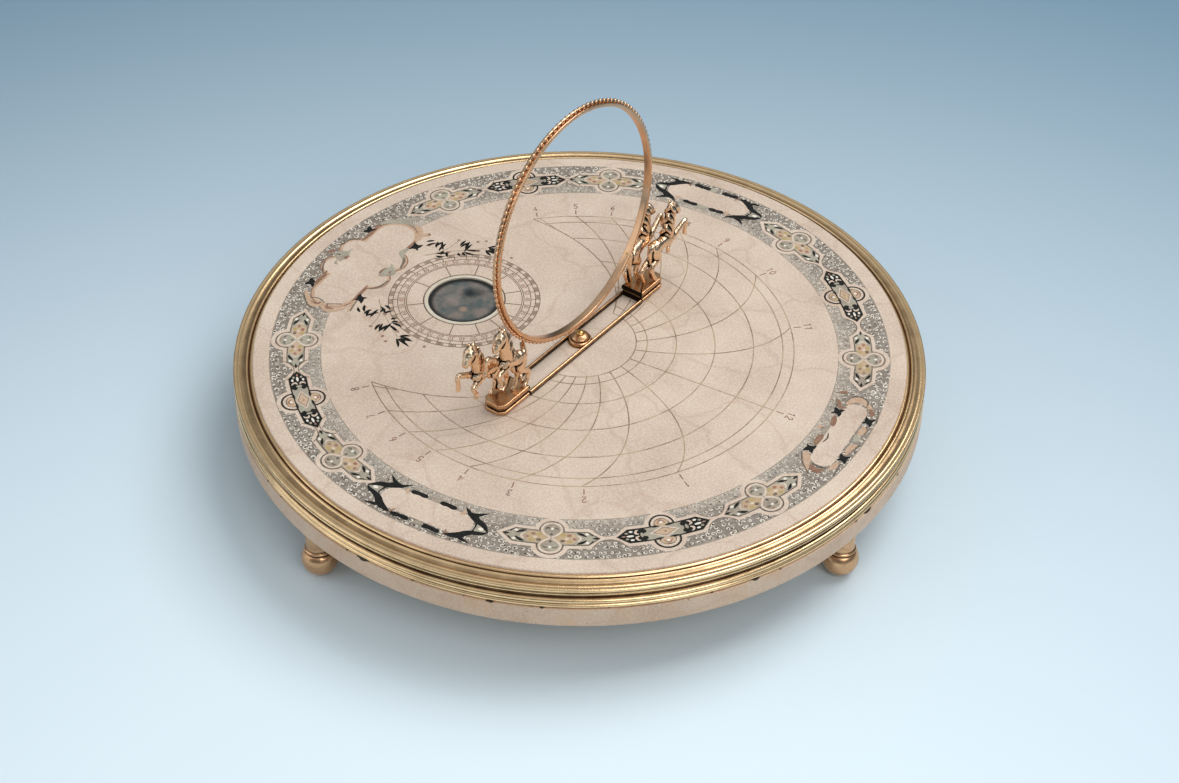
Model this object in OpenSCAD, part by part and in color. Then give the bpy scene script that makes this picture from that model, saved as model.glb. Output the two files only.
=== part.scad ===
// Azimuth sundial: a round limestone dial in a gilt brass rim on four ball feet.
// A rule turns on the centre and carries four rearing horses and an upright shadow ring.
// A small compass is sunk into the dial between the centre and the north edge.
// The origin is on the table under the centre, +Z is up, +X runs along the noon line.

/* [Dial] */
// Diameter over the gilt rim
dial_d = 300; // [296:1:306]
// Thickness of the limestone slab
slab_t = 22; // [21:0.5:28]
// Visible width of the gilt rim, seen from above
rim_w = 8.2; // [8:0.1:9]
// Depth of the ledge that carries the rim, below the dial face
ledge_z = 11.6; // [11:0.1:12.5]

/* [Feet] */
// Diameter of each ball
ball_d = 15.4; // [14.6:0.2:16]
// Height of a foot below the slab
foot_h = 26.7; // [24:0.1:32]
// Distance of the feet from the centre of the dial
foot_r = 141.6; // [120:0.2:142]
// Direction of the axis between the two pairs of feet, from the noon line
foot_axis = 29.65; // [0:0.05:45]
// Half the angle between the feet on either side of that axis
foot_half = 40.25; // [30:0.05:60]

/* [Compass] */
// Distance of the compass from the centre of the dial
compass_x = 59.2; // [50:0.1:75]
// Diameter over the compass bezel
compass_d = 35.7; // [32:0.1:38]
// Visible diameter of the compass glass
glass_d = 32.4; // [28:0.1:33]
// Depth of the compass box below the dial face
compass_h = 11.4; // [11:0.1:13]
// Length of the needle
needle_l = 27; // [20:0.5:29]

/* [Rule] */
// Direction of the rule at rest, from the noon line
rule_turn = 82; // [0:0.1:360]
// Reach of the far plinth from the centre
reach_a = 55.5; // [55:0.1:57]
// Reach of the near plinth
reach_b = 61; // [60:0.1:62]
// Where the far plinth begins, from the centre
start_a = 37.4; // [36:0.1:38]
// Where the near plinth begins, from the centre
start_b = 41.6; // [40:0.1:42]
// Width of each plinth
plinth_w = 11.6; // [11.4:0.1:12.2]
// Height of the plinths above the underside of the rule
plinth_h = 4.9; // [4.5:0.1:6]
// Gap between the dial face and the rule
rule_gap = 0.4; // [0.3:0.05:1]
// Width of the rails
rail_w = 1.5; // [1.4:0.1:1.7]
// Height of the rails
rail_h = 1.8; // [1.7:0.1:2.4]
// Diameter of the boss at the centre
boss_d = 10.2; // [10:0.1:10.8]
// Height of the domed boss
boss_h = 4.4; // [4.3:0.1:5]

/* [Shadow ring] */
// Diameter of the ring, on the middle of its band
ring_d = 103.6; // [102:0.2:106]
// Width of the band
ring_w = 3.3; // [3:0.1:3.6]
// Thickness of the band
ring_t = 1.6; // [1.4:0.1:2]
// Height of the ring's centre above the dial face
ring_z = 61.9; // [61:0.1:64]
// Distance of the ring's centre from the middle of the rule, towards the compass
ring_off = 3; // [0:0.1:3.5]
// Lean of the ring towards the compass, in degrees
ring_lean = 1.8; // [0:0.1:2.5]
// Diameter of the beaded wire on the outside of the band
bead_d = 1.9; // [1.6:0.1:2]

/* [Horses] */
// Distance of the horses from the middle line of the rule
horse_y = 2.8; // [2.75:0.05:3]
// Length of stride between the two hind hooves
stride = 4.5; // [3:0.1:4.8]

/* [Hidden] */
$fn = 96;

// colours
stone_col = "#d9c8b4";
gilt_col = "#c99b4e";
brass_col = "#a88546";
steel_col = "#6d7276";
mastic_col = "#3a2d22";
glass_col = [0.35, 0.42, 0.40, 0.5];
card_col = "#8d9288";

// heights
face_z = foot_h + slab_t;
under_z = foot_h;
rule_z = face_z + rule_gap;
top_z = rule_z + plinth_h;

// stone and rim
rim_r = dial_d / 2;
face_r = rim_r - rim_w;
wall_r = rim_r + 0.4;
flange_t = 2.6;
flange_z = 1.05;
skirt_r = rim_r - 3.1;
bed_t = 0.3;

// feet
stud_r = 2.5;
socket_r = 4;
socket_l = 9;
flange_h = 1.3;
flange_r = 6.4;
neck_r = 5.9;
ball_flat = 0.25;
foot_angles = [foot_axis - foot_half, foot_axis + foot_half,
               foot_axis + 180 - foot_half, foot_axis + 180 + foot_half];

// centre bearing
bush_r = 4.5;
spindle_r = 3;
spindle_play = 0.05;
bush_lip_r = 5.4;
bush_lip_t = 0.3;
tenon_r = 1.8;
thread_r = 2;
washer_r = 8;
washer_t = 1;
nut_af = 9;
nut_h = 3.6;

// compass
box_r = compass_d / 2;
box_wall = 1.2;
box_floor = 1.2;
bezel_t = 0.8;
glass_t = 1.2;
card_t = 0.4;
card_z = face_z - compass_h + box_floor;
glass_z = face_z - bezel_t - glass_t;
pin_r = 0.5;
pin_h = 5.2;
cap_r = 1.5;
cap_bore_r = 0.56;
needle_t = 0.4;
needle_z = card_z + card_t + 3.6;

// rule
rail_mid = 5.25;
rail_in = 0.15;
boss_flat = rail_mid - rail_w / 2;
tip_cut = 2.6;

// ring
ring_r = ring_d / 2;
ring_out = ring_r + ring_t / 2;
rivet_r = 0.5;
carry_a = 44.5;
carry_b = 43.5;

function arc(cx, cy, r, a0, a1, n) =
    [for (i = [0:n]) let (a = a0 + (a1 - a0) * i / n) [cx + r * cos(a), cy + r * sin(a)]];

// Places the children at each foot
module at_foot(i) {
    rotate([0, 0, foot_angles[i]]) translate([foot_r, 0, 0]) children();
}

// A solid of revolution from an outline of radius and height
module turned(outline) {
    rotate_extrude($fn = 180) polygon(outline);
}

// Limestone slab with its stepped rim, bored for the bush, the compass and the feet
module stone_slab() {
    edge = 0.7;
    round_r = 2.4;
    outline = concat(
        [[0, under_z]],
        arc(wall_r - round_r, under_z + round_r, round_r, -90, 0, 6),
        [[wall_r, face_z - ledge_z - 0.35], [wall_r - 0.35, face_z - ledge_z],
         [skirt_r - bed_t, face_z - ledge_z], [skirt_r - bed_t, face_z - flange_z - flange_t - bed_t],
         [face_r, face_z - flange_z - flange_t - bed_t]],
        arc(face_r - edge, face_z - edge, edge, 0, 90, 4),
        [[0, face_z]]);
    color(stone_col) difference() {
        turned(outline);
        translate([0, 0, under_z - 1]) cylinder(r = bush_r, h = slab_t + 2);
        translate([-compass_x, 0, face_z - compass_h]) cylinder(r = box_r + bed_t, h = compass_h + 1);
        for (i = [0:3]) at_foot(i) translate([0, 0, under_z - 1]) cylinder(r = socket_r, h = socket_l + 1);
    }
}

// Gilt brass hoop of moulded section, seated on the ledge round the slab
module rim_hoop() {
    z = face_z;
    in_r = face_r + bed_t;
    low = z - ledge_z + 0.15;
    outline = concat(
        [[in_r, z - flange_z - flange_t], [in_r, z - 1.3], [in_r + 0.25, z - flange_z],
         [in_r + 1.0, z - flange_z], [in_r + 1.35, z - 1.4], [in_r + 2.1, z - 1.55],
         [in_r + 2.4, z - 1.2], [in_r + 3.0, z - 1.2]],
        arc(in_r + 4.7, z + 0.35, 2.2, -126, -54, 6),
        [[in_r + 6.5, z - 1.3]],
        arc(rim_r - 0.65, z - 2.0, 0.65, 90, -40, 5),
        [[rim_r - 0.25, z - 3.1]],
        arc(rim_r - 0.45, z - 3.75, 0.45, 60, -60, 4),
        [[rim_r - 0.9, z - 4.7], [rim_r - 1.3, z - 5.6], [rim_r - 1.3, z - 6.4], [rim_r - 0.7, z - 6.7]],
        arc(rim_r - 1.1, z - 7.95, 1.2, 75, -60, 6),
        [[rim_r - 0.75, z - 9.3]],
        arc(rim_r - 0.95, z - 10.3, 1.0, 60, -60, 5),
        [[rim_r - 0.5, low], [skirt_r, low], [skirt_r, z - flange_z - flange_t]]);
    color(gilt_col) turned(outline);
}

// Dark mastic that beds the hoop on the stone
module rim_bedding() {
    z = face_z;
    in_r = face_r;
    low = z - ledge_z;
    color(mastic_col) turned([
        [in_r, z - 1.5], [in_r + bed_t, z - 1.5], [in_r + bed_t, z - flange_z - flange_t],
        [skirt_r, z - flange_z - flange_t], [skirt_r, low + 0.15], [rim_r - 0.9, low + 0.15],
        [rim_r - 0.9, low], [skirt_r - bed_t, low], [skirt_r - bed_t, z - flange_z - flange_t - bed_t],
        [in_r, z - flange_z - flange_t - bed_t]]);
}

// Turned brass foot: a flange, a waisted neck and a ball worn flat at the bottom
module foot(i) {
    ball_r = ball_d / 2;
    ball_z = ball_r - ball_flat;
    flat_r = sqrt(ball_r * ball_r - ball_z * ball_z);
    join_a = acos(neck_r / ball_r) - 3;
    join_r = ball_r * cos(join_a);
    join_z = ball_z + ball_r * sin(join_a);
    outline = concat(
        [[0, 0]],
        arc(0, ball_z, ball_r, -acos(flat_r / ball_r), join_a, 18),
        [[join_r - 0.35, join_z + 0.35], [join_r - 0.35, join_z + 0.9]],
        arc(neck_r - 0.35, join_z + 1.5, 0.6, -70, 70, 4),
        [[neck_r - 0.25, join_z + 2.3], [neck_r - 0.25, under_z - flange_h - 0.8],
         [flange_r, under_z - flange_h], [flange_r, under_z - 0.2], [flange_r - 0.2, under_z], [0, under_z]]);
    color(brass_col) at_foot(i) difference() {
        turned(outline);
        translate([0, 0, under_z - 8]) cylinder(r = stud_r, h = 9);
    }
}

// Threaded studs that join the feet to their sockets
module foot_studs() {
    color(steel_col) for (i = [0:3]) at_foot(i)
        translate([0, 0, under_z - 8]) cylinder(r = stud_r, h = 8 + socket_l - 0.5);
}

// Brass sockets cemented into the underside of the slab
module foot_sockets() {
    color(brass_col) for (i = [0:3]) at_foot(i) difference() {
        translate([0, 0, under_z]) cylinder(r = socket_r, h = socket_l);
        translate([0, 0, under_z - 1]) cylinder(r = stud_r, h = socket_l + 0.5);
    }
}

// Brass bush through the middle of the slab; its lip carries the rule
module centre_bush() {
    color(brass_col) difference() {
        union() {
            translate([0, 0, under_z]) cylinder(r = bush_r, h = slab_t);
            translate([0, 0, face_z]) cylinder(r = bush_lip_r, h = bush_lip_t);
        }
        translate([0, 0, under_z - 1]) cylinder(r = spindle_r, h = slab_t + 3);
    }
}

// Places the children on the compass axis
module at_compass(z) {
    translate([-compass_x, 0, z]) children();
}

// Brass box of the compass
module compass_box() {
    color(brass_col) difference() {
        at_compass(face_z - compass_h) cylinder(r = box_r, h = compass_h - bezel_t);
        at_compass(card_z) cylinder(r = box_r - box_wall, h = compass_h);
    }
}

// Dark mastic round the compass box
module compass_bedding() {
    color(mastic_col) difference() {
        at_compass(face_z - compass_h) cylinder(r = box_r + bed_t, h = compass_h - 0.4);
        at_compass(face_z - compass_h - 1) cylinder(r = box_r, h = compass_h + 2);
    }
}

// Card on the floor of the box
module compass_card() {
    color(card_col) difference() {
        at_compass(card_z) cylinder(r = box_r - box_wall, h = card_t);
        at_compass(card_z - 1) cylinder(r = pin_r, h = card_t + 2);
    }
}

// Steel pin on which the needle turns
module compass_pivot() {
    color(steel_col) {
        at_compass(card_z) cylinder(r = pin_r, h = pin_h - 0.5);
        at_compass(card_z + pin_h - 0.5) cylinder(r1 = pin_r, r2 = 0.1, h = 0.5);
    }
}

// Brass sleeve that holds the glass above the card
module glass_seat() {
    color(brass_col) difference() {
        at_compass(card_z + card_t) cylinder(r = box_r - box_wall, h = glass_z - card_z - card_t);
        at_compass(card_z) cylinder(r = box_r - box_wall - 0.9, h = compass_h);
    }
}

// Glass of the compass
module compass_glass() {
    color(glass_col) at_compass(glass_z) cylinder(r = box_r - box_wall, h = glass_t);
}

// Flat ring that holds the glass down, flush with the dial face
module compass_bezel() {
    color(gilt_col) difference() {
        at_compass(face_z - bezel_t) cylinder(r = box_r, h = bezel_t);
        at_compass(face_z - bezel_t - 1) cylinder(r = glass_d / 2, h = bezel_t + 2);
    }
}

// Magnetised needle, a thin lozenge
module compass_needle() {
    half = needle_l / 2;
    color(steel_col) at_compass(needle_z) difference() {
        linear_extrude(needle_t) polygon([[half, 0], [0, 1.5], [-half, 0], [0, -1.5]]);
        translate([0, 0, -1]) cylinder(r = cap_bore_r + 0.4, h = 3);
    }
}

// Brass cap in the middle of the needle, bored from below for the pin
module needle_cap() {
    color(brass_col) at_compass(needle_z) difference() {
        union() {
            translate([0, 0, -0.5]) cylinder(r = cap_bore_r + 0.4, h = 2.4);
            translate([0, 0, needle_t]) cylinder(r1 = cap_r, r2 = 0.9, h = 1.5);
            translate([0, 0, -0.5]) cylinder(r = cap_r, h = 0.5);
        }
        translate([0, 0, -1]) cylinder(r = cap_bore_r, h = 2.3);
    }
}

// Turns the children from the rule's own direction to its place on the dial
module on_rule() {
    rotate([0, 0, rule_turn]) children();
}

// Spindle fixed in the boss; it turns in the bush
module rule_spindle() {
    shoulder = spindle_r - spindle_play;
    color(brass_col) on_rule() {
        translate([0, 0, under_z - 0.1]) cylinder(r = shoulder, h = rule_z - under_z + 0.1);
        translate([0, 0, rule_z]) cylinder(r = tenon_r, h = boss_h);
        translate([0, 0, rule_z + boss_h]) intersection() {
            translate([0, 0, -1.2]) sphere(r = 2.16, $fn = 48);
            cylinder(r = tenon_r, h = 2);
        }
        translate([0, 0, under_z - 0.1 - washer_t - nut_h - 0.8])
            cylinder(r = thread_r, h = washer_t + nut_h + 0.8);
    }
}

// Washer under the slab
module spindle_washer() {
    color(brass_col) on_rule() difference() {
        translate([0, 0, under_z - 0.1 - washer_t]) cylinder(r = washer_r, h = washer_t);
        translate([0, 0, under_z - 5]) cylinder(r = thread_r, h = 8);
    }
}

// Nut that keeps the spindle in the bush
module spindle_nut() {
    color(brass_col) on_rule() difference() {
        translate([0, 0, under_z - 0.1 - washer_t - nut_h]) cylinder(r = nut_af / sqrt(3), h = nut_h, $fn = 6);
        translate([0, 0, under_z - 9]) cylinder(r = thread_r, h = 12);
    }
}

// Domed boss at the centre of the rule
module rule_boss() {
    dome_r = 5.6;
    color(gilt_col) on_rule() difference() {
        translate([0, 0, rule_z]) {
            intersection() {
                cylinder(r = boss_d / 2, h = 1.7);
                translate([-boss_d, -boss_flat, -1]) cube([2 * boss_d, 2 * boss_flat, 4]);
            }
            translate([0, 0, 1.7]) intersection() {
                translate([0, 0, boss_h - 1.7 - dome_r]) sphere(r = dome_r);
                cylinder(r = boss_flat - 0.2, h = boss_h);
            }
        }
        translate([0, 0, rule_z - 1]) cylinder(r = tenon_r, h = boss_h + 3);
    }
}

// Straight rail let into the ends of the plinths; side is 1 or -1
module rail(side) {
    half_w = rail_w / 2;
    section = concat([[-half_w, 0], [half_w, 0]], arc(0, rail_h - half_w, half_w, 0, 180, 10));
    color(gilt_col) on_rule() translate([-start_b - rail_in, side * rail_mid, rule_z])
        rotate([90, 0, 90]) linear_extrude(start_a + start_b + 2 * rail_in) polygon(section);
}

// Outline of a plinth from start to reach, inset all round
function plinth_outline(start, reach, inset) = let (
    x0 = start + inset, x1 = reach - inset, w = plinth_w / 2 - inset, c = tip_cut)
    [[x0, -w], [x1 - c, -w], [x1, -w + c], [x1, w - c], [x1 - c, w], [x0, w]];

// Moulded plinth with a base, a hollow waist and a flat top; turn is 0 or 180
module plinth(turn, start, reach, hooves) {
    base_h = 1.5;
    waist_h = 1.5;
    color(gilt_col) on_rule() rotate([0, 0, turn]) difference() {
        translate([0, 0, rule_z]) {
            linear_extrude(base_h) polygon(plinth_outline(start, reach, 0));
            translate([0, 0, base_h]) linear_extrude(waist_h) polygon(plinth_outline(start, reach, 0.9));
            translate([0, 0, base_h + waist_h])
                linear_extrude(plinth_h - base_h - waist_h) polygon(plinth_outline(start, reach, 0.25));
        }
        for (h = hooves) translate([h[0], h[1], top_z - tang_l]) cylinder(r = tang_r, h = tang_l + 1);
    }
}

// Horses: each has its place along the rule, its side, its lean and the set of its neck
tang_r = 0.45;
tang_l = 3;
hoof_y = 1.35;
a_lead = [50.4, -horse_y, 17, -18];
a_trail = [45.6, horse_y, -2, -6];
b_lead = [56.4, -horse_y, 12, -5];
b_trail = [48.8, horse_y, 0, 0];
// places of the two hind hooves of a horse
function hooves(h) = [[h[0], h[1] - hoof_y], [h[0] - stride, h[1] + hoof_y]];

// A point of the body, tipped forward about a point between the hocks
tip_x = -1.5;
tip_z = 4;
function tipped(p, a) = [tip_x + (p[0] - tip_x) * cos(a) + (p[2] - tip_z) * sin(a), p[1],
                         tip_z - (p[0] - tip_x) * sin(a) + (p[2] - tip_z) * cos(a)];
// A point of the neck or head, set back about the withers and then tipped
withers = [4.8, 0, 22];
function neck_set(p, b) = [withers[0] + (p[0] - withers[0]) * cos(b) + (p[2] - withers[2]) * sin(b), p[1],
                           withers[2] - (p[0] - withers[0]) * sin(b) + (p[2] - withers[2]) * cos(b)];

// A row of rounded links; each knot is x, y, z and radius
module links(knots, sides) {
    for (i = [0:len(knots) - 2]) hull() for (k = [knots[i], knots[i + 1]])
        translate([k[0], k[1], k[2]]) sphere(r = k[3], $fn = sides);
}

// Cast rearing horse, standing at the origin and facing +X
module horse(lean, neck, tail) {
    function body(k) = concat(tipped(k, lean), [k[3]]);
    function nape(k) = concat(tipped(neck_set(k, neck), lean), [k[3]]);
    links([for (k = [[-3.9, 0, 17.6, 2.3], [0.4, 0, 19.1, 2.3], [5, 0, 20.4, 2.65]]) body(k)], 16);
    links([for (k = [[-3.6, 0, 15.6, 2.3], [5.8, 0, 17.8, 2.4]]) body(k)], 16);
    links([for (k = [[5, 0, 21, 2.65], [5.6, 0, 26.6, 2.5], [6.8, 0, 31.4, 2.4], [8, 0, 34.4, 2.5]]) nape(k)], 16);
    links([for (k = [[8.4, 0, 34.4, 2.5], [10, 0, 32.6, 2.2], [11.8, 0, 30.6, 1.6]]) nape(k)], 14);
    for (s = [-1, 1]) links([for (k = [[7.2, 0.9 * s, 36.6, 0.5], [7.6, 1.1 * s, 38.2, 0.2]]) nape(k)], 8);
    // hind legs: hip, stifle, hock, fetlock, hoof
    for (leg = [[0, -hoof_y], [-stride, hoof_y]])
        links([body([-3.6, leg[1] * 0.7, 15.5, 2.2]), body([-1 + leg[0] * 0.3, leg[1], 11.4, 1.75]),
               [-3.4 + leg[0] * 0.9, leg[1], 6.8, 1.2], [-1.5 + leg[0], leg[1], 2, 0.95],
               [-0.2 + leg[0], leg[1], 0.75, 0.9]], 12);
    // forelegs: one lifted high, one tucked
    links([for (k = [[7, -1.3, 19, 1.7], [15.6, -1.5, 26.8, 1.15], [16.8, -1.5, 21.4, 0.95],
                     [17.2, -1.5, 20.2, 1.05]]) body(k)], 12);
    links([for (k = [[6.8, 1.3, 17.6, 1.7], [11.8, 1.5, 17.4, 1.15], [10.8, 1.5, 12.4, 0.95],
                     [11.4, 1.5, 11.4, 1.05]]) body(k)], 12);
    links(tail, 12);
}

// Sets a horse on its plinth
module horse_on(turn, h, tail) {
    color(gilt_col) on_rule() rotate([0, 0, turn]) translate([h[0], h[1], top_z])
        horse(h[2], h[3], tail);
}

// Tail of a leading horse, falling to the plinth
function low_tail(h) = let (r = tipped([-5.6, 0, 18], h[2]), z0 = 0.7)
    [concat(r, [0.9]), [r[0] - 2.2, 0, r[2] - 2.6, 1.05], [r[0] - 1.8, 0, r[2] - 8, 0.9],
     [r[0] - 0.4, 0, z0, 0.6]];
// Tail of a trailing horse: it lifts to the ring and falls back to the plinth
function ring_tail(h, angle, side) = let (
    r = tipped([-5.6, 0, 18], h[2]),
    // the ring's point at this angle from its foot, in the horse's own frame
    reach = ring_out + bead_d + 0.4,
    lift = ring_z - rule_gap - plinth_h,
    cx = reach * sin(angle) - h[0],
    cz = lift - reach * cos(angle) * cos(ring_lean),
    cy = side * (ring_off - reach * cos(angle) * sin(ring_lean)) - h[1])
    [concat(r, [1]), [cx, cy, cz, 0.9], [cx - 0.2, cy * 0.7, cz - 6, 1],
     [-stride - 1.6, cy * 0.4, cz * 0.35, 0.8], [-stride - 0.2, 0, 1.2, 0.6]];

// Tangs that pin the hind hooves into the plinths
module horse_tangs() {
    color(brass_col) on_rule() {
        for (h = concat(hooves(a_lead), hooves(a_trail)))
            translate([h[0], h[1], top_z - tang_l]) cylinder(r = tang_r, h = tang_l);
        rotate([0, 0, 180]) for (h = concat(hooves(b_lead), hooves(b_trail)))
            translate([h[0], h[1], top_z - tang_l]) cylinder(r = tang_r, h = tang_l);
    }
}

// Puts the children in the plane of the ring, with the ring's axis along Z and its foot at -Y
module on_ring() {
    on_rule() translate([0, ring_off, face_z + ring_z]) rotate([90 - ring_lean, 0, 0]) children();
}

// Upright band whose shadow reads the dial
module shadow_ring() {
    color(gilt_col) on_ring() difference() {
        rotate_extrude($fn = 180) translate([ring_r - ring_t / 2, -ring_w / 2]) square([ring_t, ring_w]);
        for (a = [-90 + carry_a, -90 - carry_b]) rotate([0, 0, a])
            translate([ring_r - ring_t, 0, 0]) rotate([0, 90, 0]) cylinder(r = rivet_r, h = 2 * ring_t);
    }
}

// Beaded wire along the middle of the band's outer face
module ring_beading() {
    color(gilt_col) on_ring() difference() {
        rotate_extrude($fn = 180)
            translate([ring_out + bead_d / 2 - 0.25, 0]) circle(r = bead_d / 2, $fn = 24);
        for (a = [-90 + carry_a, -90 - carry_b]) rotate([0, 0, a])
            translate([ring_r, 0, 0]) rotate([0, 90, 0]) cylinder(r = rivet_r, h = 4 * bead_d);
    }
}

// Rivets that hold the ring to the tails of the two trailing horses
module ring_rivets() {
    color(brass_col) on_ring() for (a = [-90 + carry_a, -90 - carry_b]) rotate([0, 0, a])
        translate([ring_r - ring_t / 2 - 0.3, 0, 0]) rotate([0, 90, 0]) cylinder(r = rivet_r, h = ring_t + bead_d);
}

stone_slab();
rim_hoop();
rim_bedding();
foot(0);  // foot_1
foot(1);  // foot_2
foot(2);  // foot_3
foot(3);  // foot_4
foot_studs();
foot_sockets();
centre_bush();
compass_box();
compass_bedding();
compass_card();
compass_pivot();
glass_seat();
compass_glass();
compass_bezel();
rule_spindle();
spindle_washer();
spindle_nut();
rule_boss();
rail(-1);  // rail_front
rail(1);  // rail_back
plinth(0, start_a, reach_a, concat(hooves(a_lead), hooves(a_trail)));  // plinth_a
plinth(180, start_b, reach_b, concat(hooves(b_lead), hooves(b_trail)));  // plinth_b
horse_on(0, a_lead, low_tail(a_lead));  // horse_a_lead
horse_on(0, a_trail, ring_tail(a_trail, carry_a, 1));  // horse_a_trail
horse_on(180, b_lead, low_tail(b_lead));  // horse_b_lead
horse_on(180, b_trail, ring_tail(b_trail, carry_b, -1));  // horse_b_trail
horse_tangs();
shadow_ring();
ring_beading();
ring_rivets();
compass_needle();
needle_cap();
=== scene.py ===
import math

import bmesh
import bpy
import numpy as np
from mathutils import Matrix, Vector


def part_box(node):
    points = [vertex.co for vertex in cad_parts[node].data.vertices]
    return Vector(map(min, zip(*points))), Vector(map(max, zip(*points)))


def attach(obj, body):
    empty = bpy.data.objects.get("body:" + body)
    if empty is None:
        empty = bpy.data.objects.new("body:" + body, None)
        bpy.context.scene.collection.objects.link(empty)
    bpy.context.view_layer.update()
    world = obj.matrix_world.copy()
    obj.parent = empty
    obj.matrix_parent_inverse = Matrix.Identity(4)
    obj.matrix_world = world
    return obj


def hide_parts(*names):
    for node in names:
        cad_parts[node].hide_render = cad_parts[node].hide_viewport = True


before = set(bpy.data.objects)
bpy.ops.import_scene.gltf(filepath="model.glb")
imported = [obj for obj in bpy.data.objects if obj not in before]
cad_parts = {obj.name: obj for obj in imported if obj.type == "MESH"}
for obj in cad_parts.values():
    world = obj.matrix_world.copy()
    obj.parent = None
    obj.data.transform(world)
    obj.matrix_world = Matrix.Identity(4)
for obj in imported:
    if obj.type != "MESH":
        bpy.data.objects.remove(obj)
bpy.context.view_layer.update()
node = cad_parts
mm = 0.001

# The camera stands where the photograph was taken: on the side of the lower right feet, at about 39 degrees
# above the table. The centre of the dial face falls on the pixel that is given, and the frame leans a little.
photo_w, photo_h = 1179, 783
lens_px = 2100.4
centre_px = (580.05, 340.94)
camera_turn, camera_rise, camera_lean = math.radians(29), math.radians(38.97), math.radians(0.508)
camera_far = 0.9158
face_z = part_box("stone_slab")[1].z
across_px, down_px = centre_px[0] - photo_w / 2, centre_px[1] - photo_h / 2
sight = Vector((across_px / lens_px, down_px / lens_px, 1)).normalized()
ahead = Vector((0, math.cos(camera_rise), -math.sin(camera_rise)))
right = Vector((1, 0, 0))
level = Matrix((right, ahead.cross(right), ahead)) @ Matrix.Rotation(-camera_turn, 3, "Z")
leaned = Matrix.Rotation(camera_lean, 3, "Z") @ level
aim = Vector((0, 0, 1)).rotation_difference(sight).to_matrix() @ leaned
camera_at = Vector((0, 0, face_z)) - aim.transposed() @ (sight * camera_far)
camera_data = bpy.data.cameras.new("camera")
camera_data.sensor_width = 36
camera_data.lens = lens_px / photo_w * camera_data.sensor_width
camera = bpy.data.objects.new("camera", camera_data)
turn_in = Matrix((aim[0], -aim[1], -aim[2])).transposed()
camera.matrix_world = Matrix.Translation(camera_at) @ turn_in.to_4x4()
bpy.context.scene.collection.objects.link(camera)
bpy.context.scene.camera = camera
bpy.context.scene.view_settings.view_transform = "Standard"


# The table is a plain pale blue sheet of card, wide enough to fill the view. Its tone is a painted pool of
# light, from near white at the front to slate blue at the back. It is matt, so it takes a soft shadow.
table_half = 6.0
brightest_at = (140, -322, 0)


def linear(hex_colour):
    """An sRGB hex colour as linear light: each channel by the sRGB curve, with an alpha of 1."""
    c = np.array([int(hex_colour[i:i + 2], 16) for i in (1, 3, 5)]) / 255
    return tuple(np.where(c <= 0.04045, c / 12.92, ((c + 0.055) / 1.055) ** 2.4)) + (1.0,)


def add(tree, kind, inputs=None, ramp=None, **settings):
    """Adds one node with its settings. An input, by name or number, takes a number, a hex colour, a socket,
    or a node, which gives its first output in use; ramp sets where a colour ramp is black and where white."""
    made = tree.nodes.new("ShaderNode" + kind)
    for key, value in settings.items():
        setattr(made, key, value)
    for key, value in (inputs or {}).items():
        if isinstance(value, bpy.types.Node):
            value = next(socket for socket in value.outputs if socket.enabled)
        if isinstance(value, bpy.types.NodeSocket):
            tree.links.new(value, made.inputs[key])
        else:
            made.inputs[key].default_value = linear(value) if isinstance(value, str) else value
    for element, position in zip((0, 1), ramp or ()):
        made.color_ramp.elements[element].position = position
    return made


def new_material(name):
    """A node material with only the place of each point in mm; the caller adds the rest and the output."""
    made = bpy.data.materials.new(name)
    made.use_nodes = True
    tree = made.node_tree
    tree.nodes.clear()
    place = add(tree, "TexCoord").outputs["Object"]
    return made, tree, add(tree, "Mapping", {"Vector": place, "Scale": (1000, 1000, 1000)})


def mesh_object(name, points, quads, material, smooth=True, sharp=40.0):
    """A mesh object from an array of points and an array of quads."""
    mesh = bpy.data.meshes.new(name)
    mesh.vertices.add(len(points))
    mesh.vertices.foreach_set("co", np.ascontiguousarray(points, np.float32).ravel())
    mesh.loops.add(quads.size)
    mesh.loops.foreach_set("vertex_index", np.ascontiguousarray(quads, np.int32).ravel())
    mesh.polygons.add(len(quads))
    mesh.polygons.foreach_set("loop_start", np.arange(0, quads.size, 4, dtype=np.int32))
    mesh.update(calc_edges=True)
    mesh.polygons.foreach_set("use_smooth", np.full(len(quads), smooth))
    if smooth:
        mesh.set_sharp_from_angle(angle=math.radians(sharp))
    mesh.materials.append(material)
    made = bpy.data.objects.new(name, mesh)
    bpy.context.scene.collection.objects.link(made)
    return made


def table_card():
    """Matt card, graded as painted light: its tone follows the distance in mm from a point in front of the
    dial, smoothly.
    """
    made, tree, in_mm = new_material("matt_card")
    from_front = add(tree, "VectorMath", {0: in_mm, 1: brightest_at}, operation="SUBTRACT")
    away = add(tree, "VectorMath", {0: from_front}, operation="LENGTH")
    grade = add(tree, "MapRange", {0: away, 1: 100, 2: 950}, interpolation_type="SMOOTHSTEP")
    tone = add(tree, "Mix", {0: grade, 6: "#dfeef6", 7: "#5f839a"}, data_type="RGBA")
    cloud = add(tree, "TexNoise", {"Vector": in_mm, "Scale": 1 / 1250, "Detail": 1.0})
    tone = add(tree, "Mix", {0: 0.04, 6: tone, 7: cloud}, data_type="RGBA")
    shader = add(tree, "BsdfPrincipled", {"Base Color": tone, "Roughness": 0.85})
    add(tree, "OutputMaterial", {"Surface": shader})
    return made


corners = np.array([(-1, -1, 0), (1, -1, 0), (1, 1, 0), (-1, 1, 0)]) * table_half
table = mesh_object("table", corners, np.array([[0, 1, 2, 3]]), table_card(), smooth=False)

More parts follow.
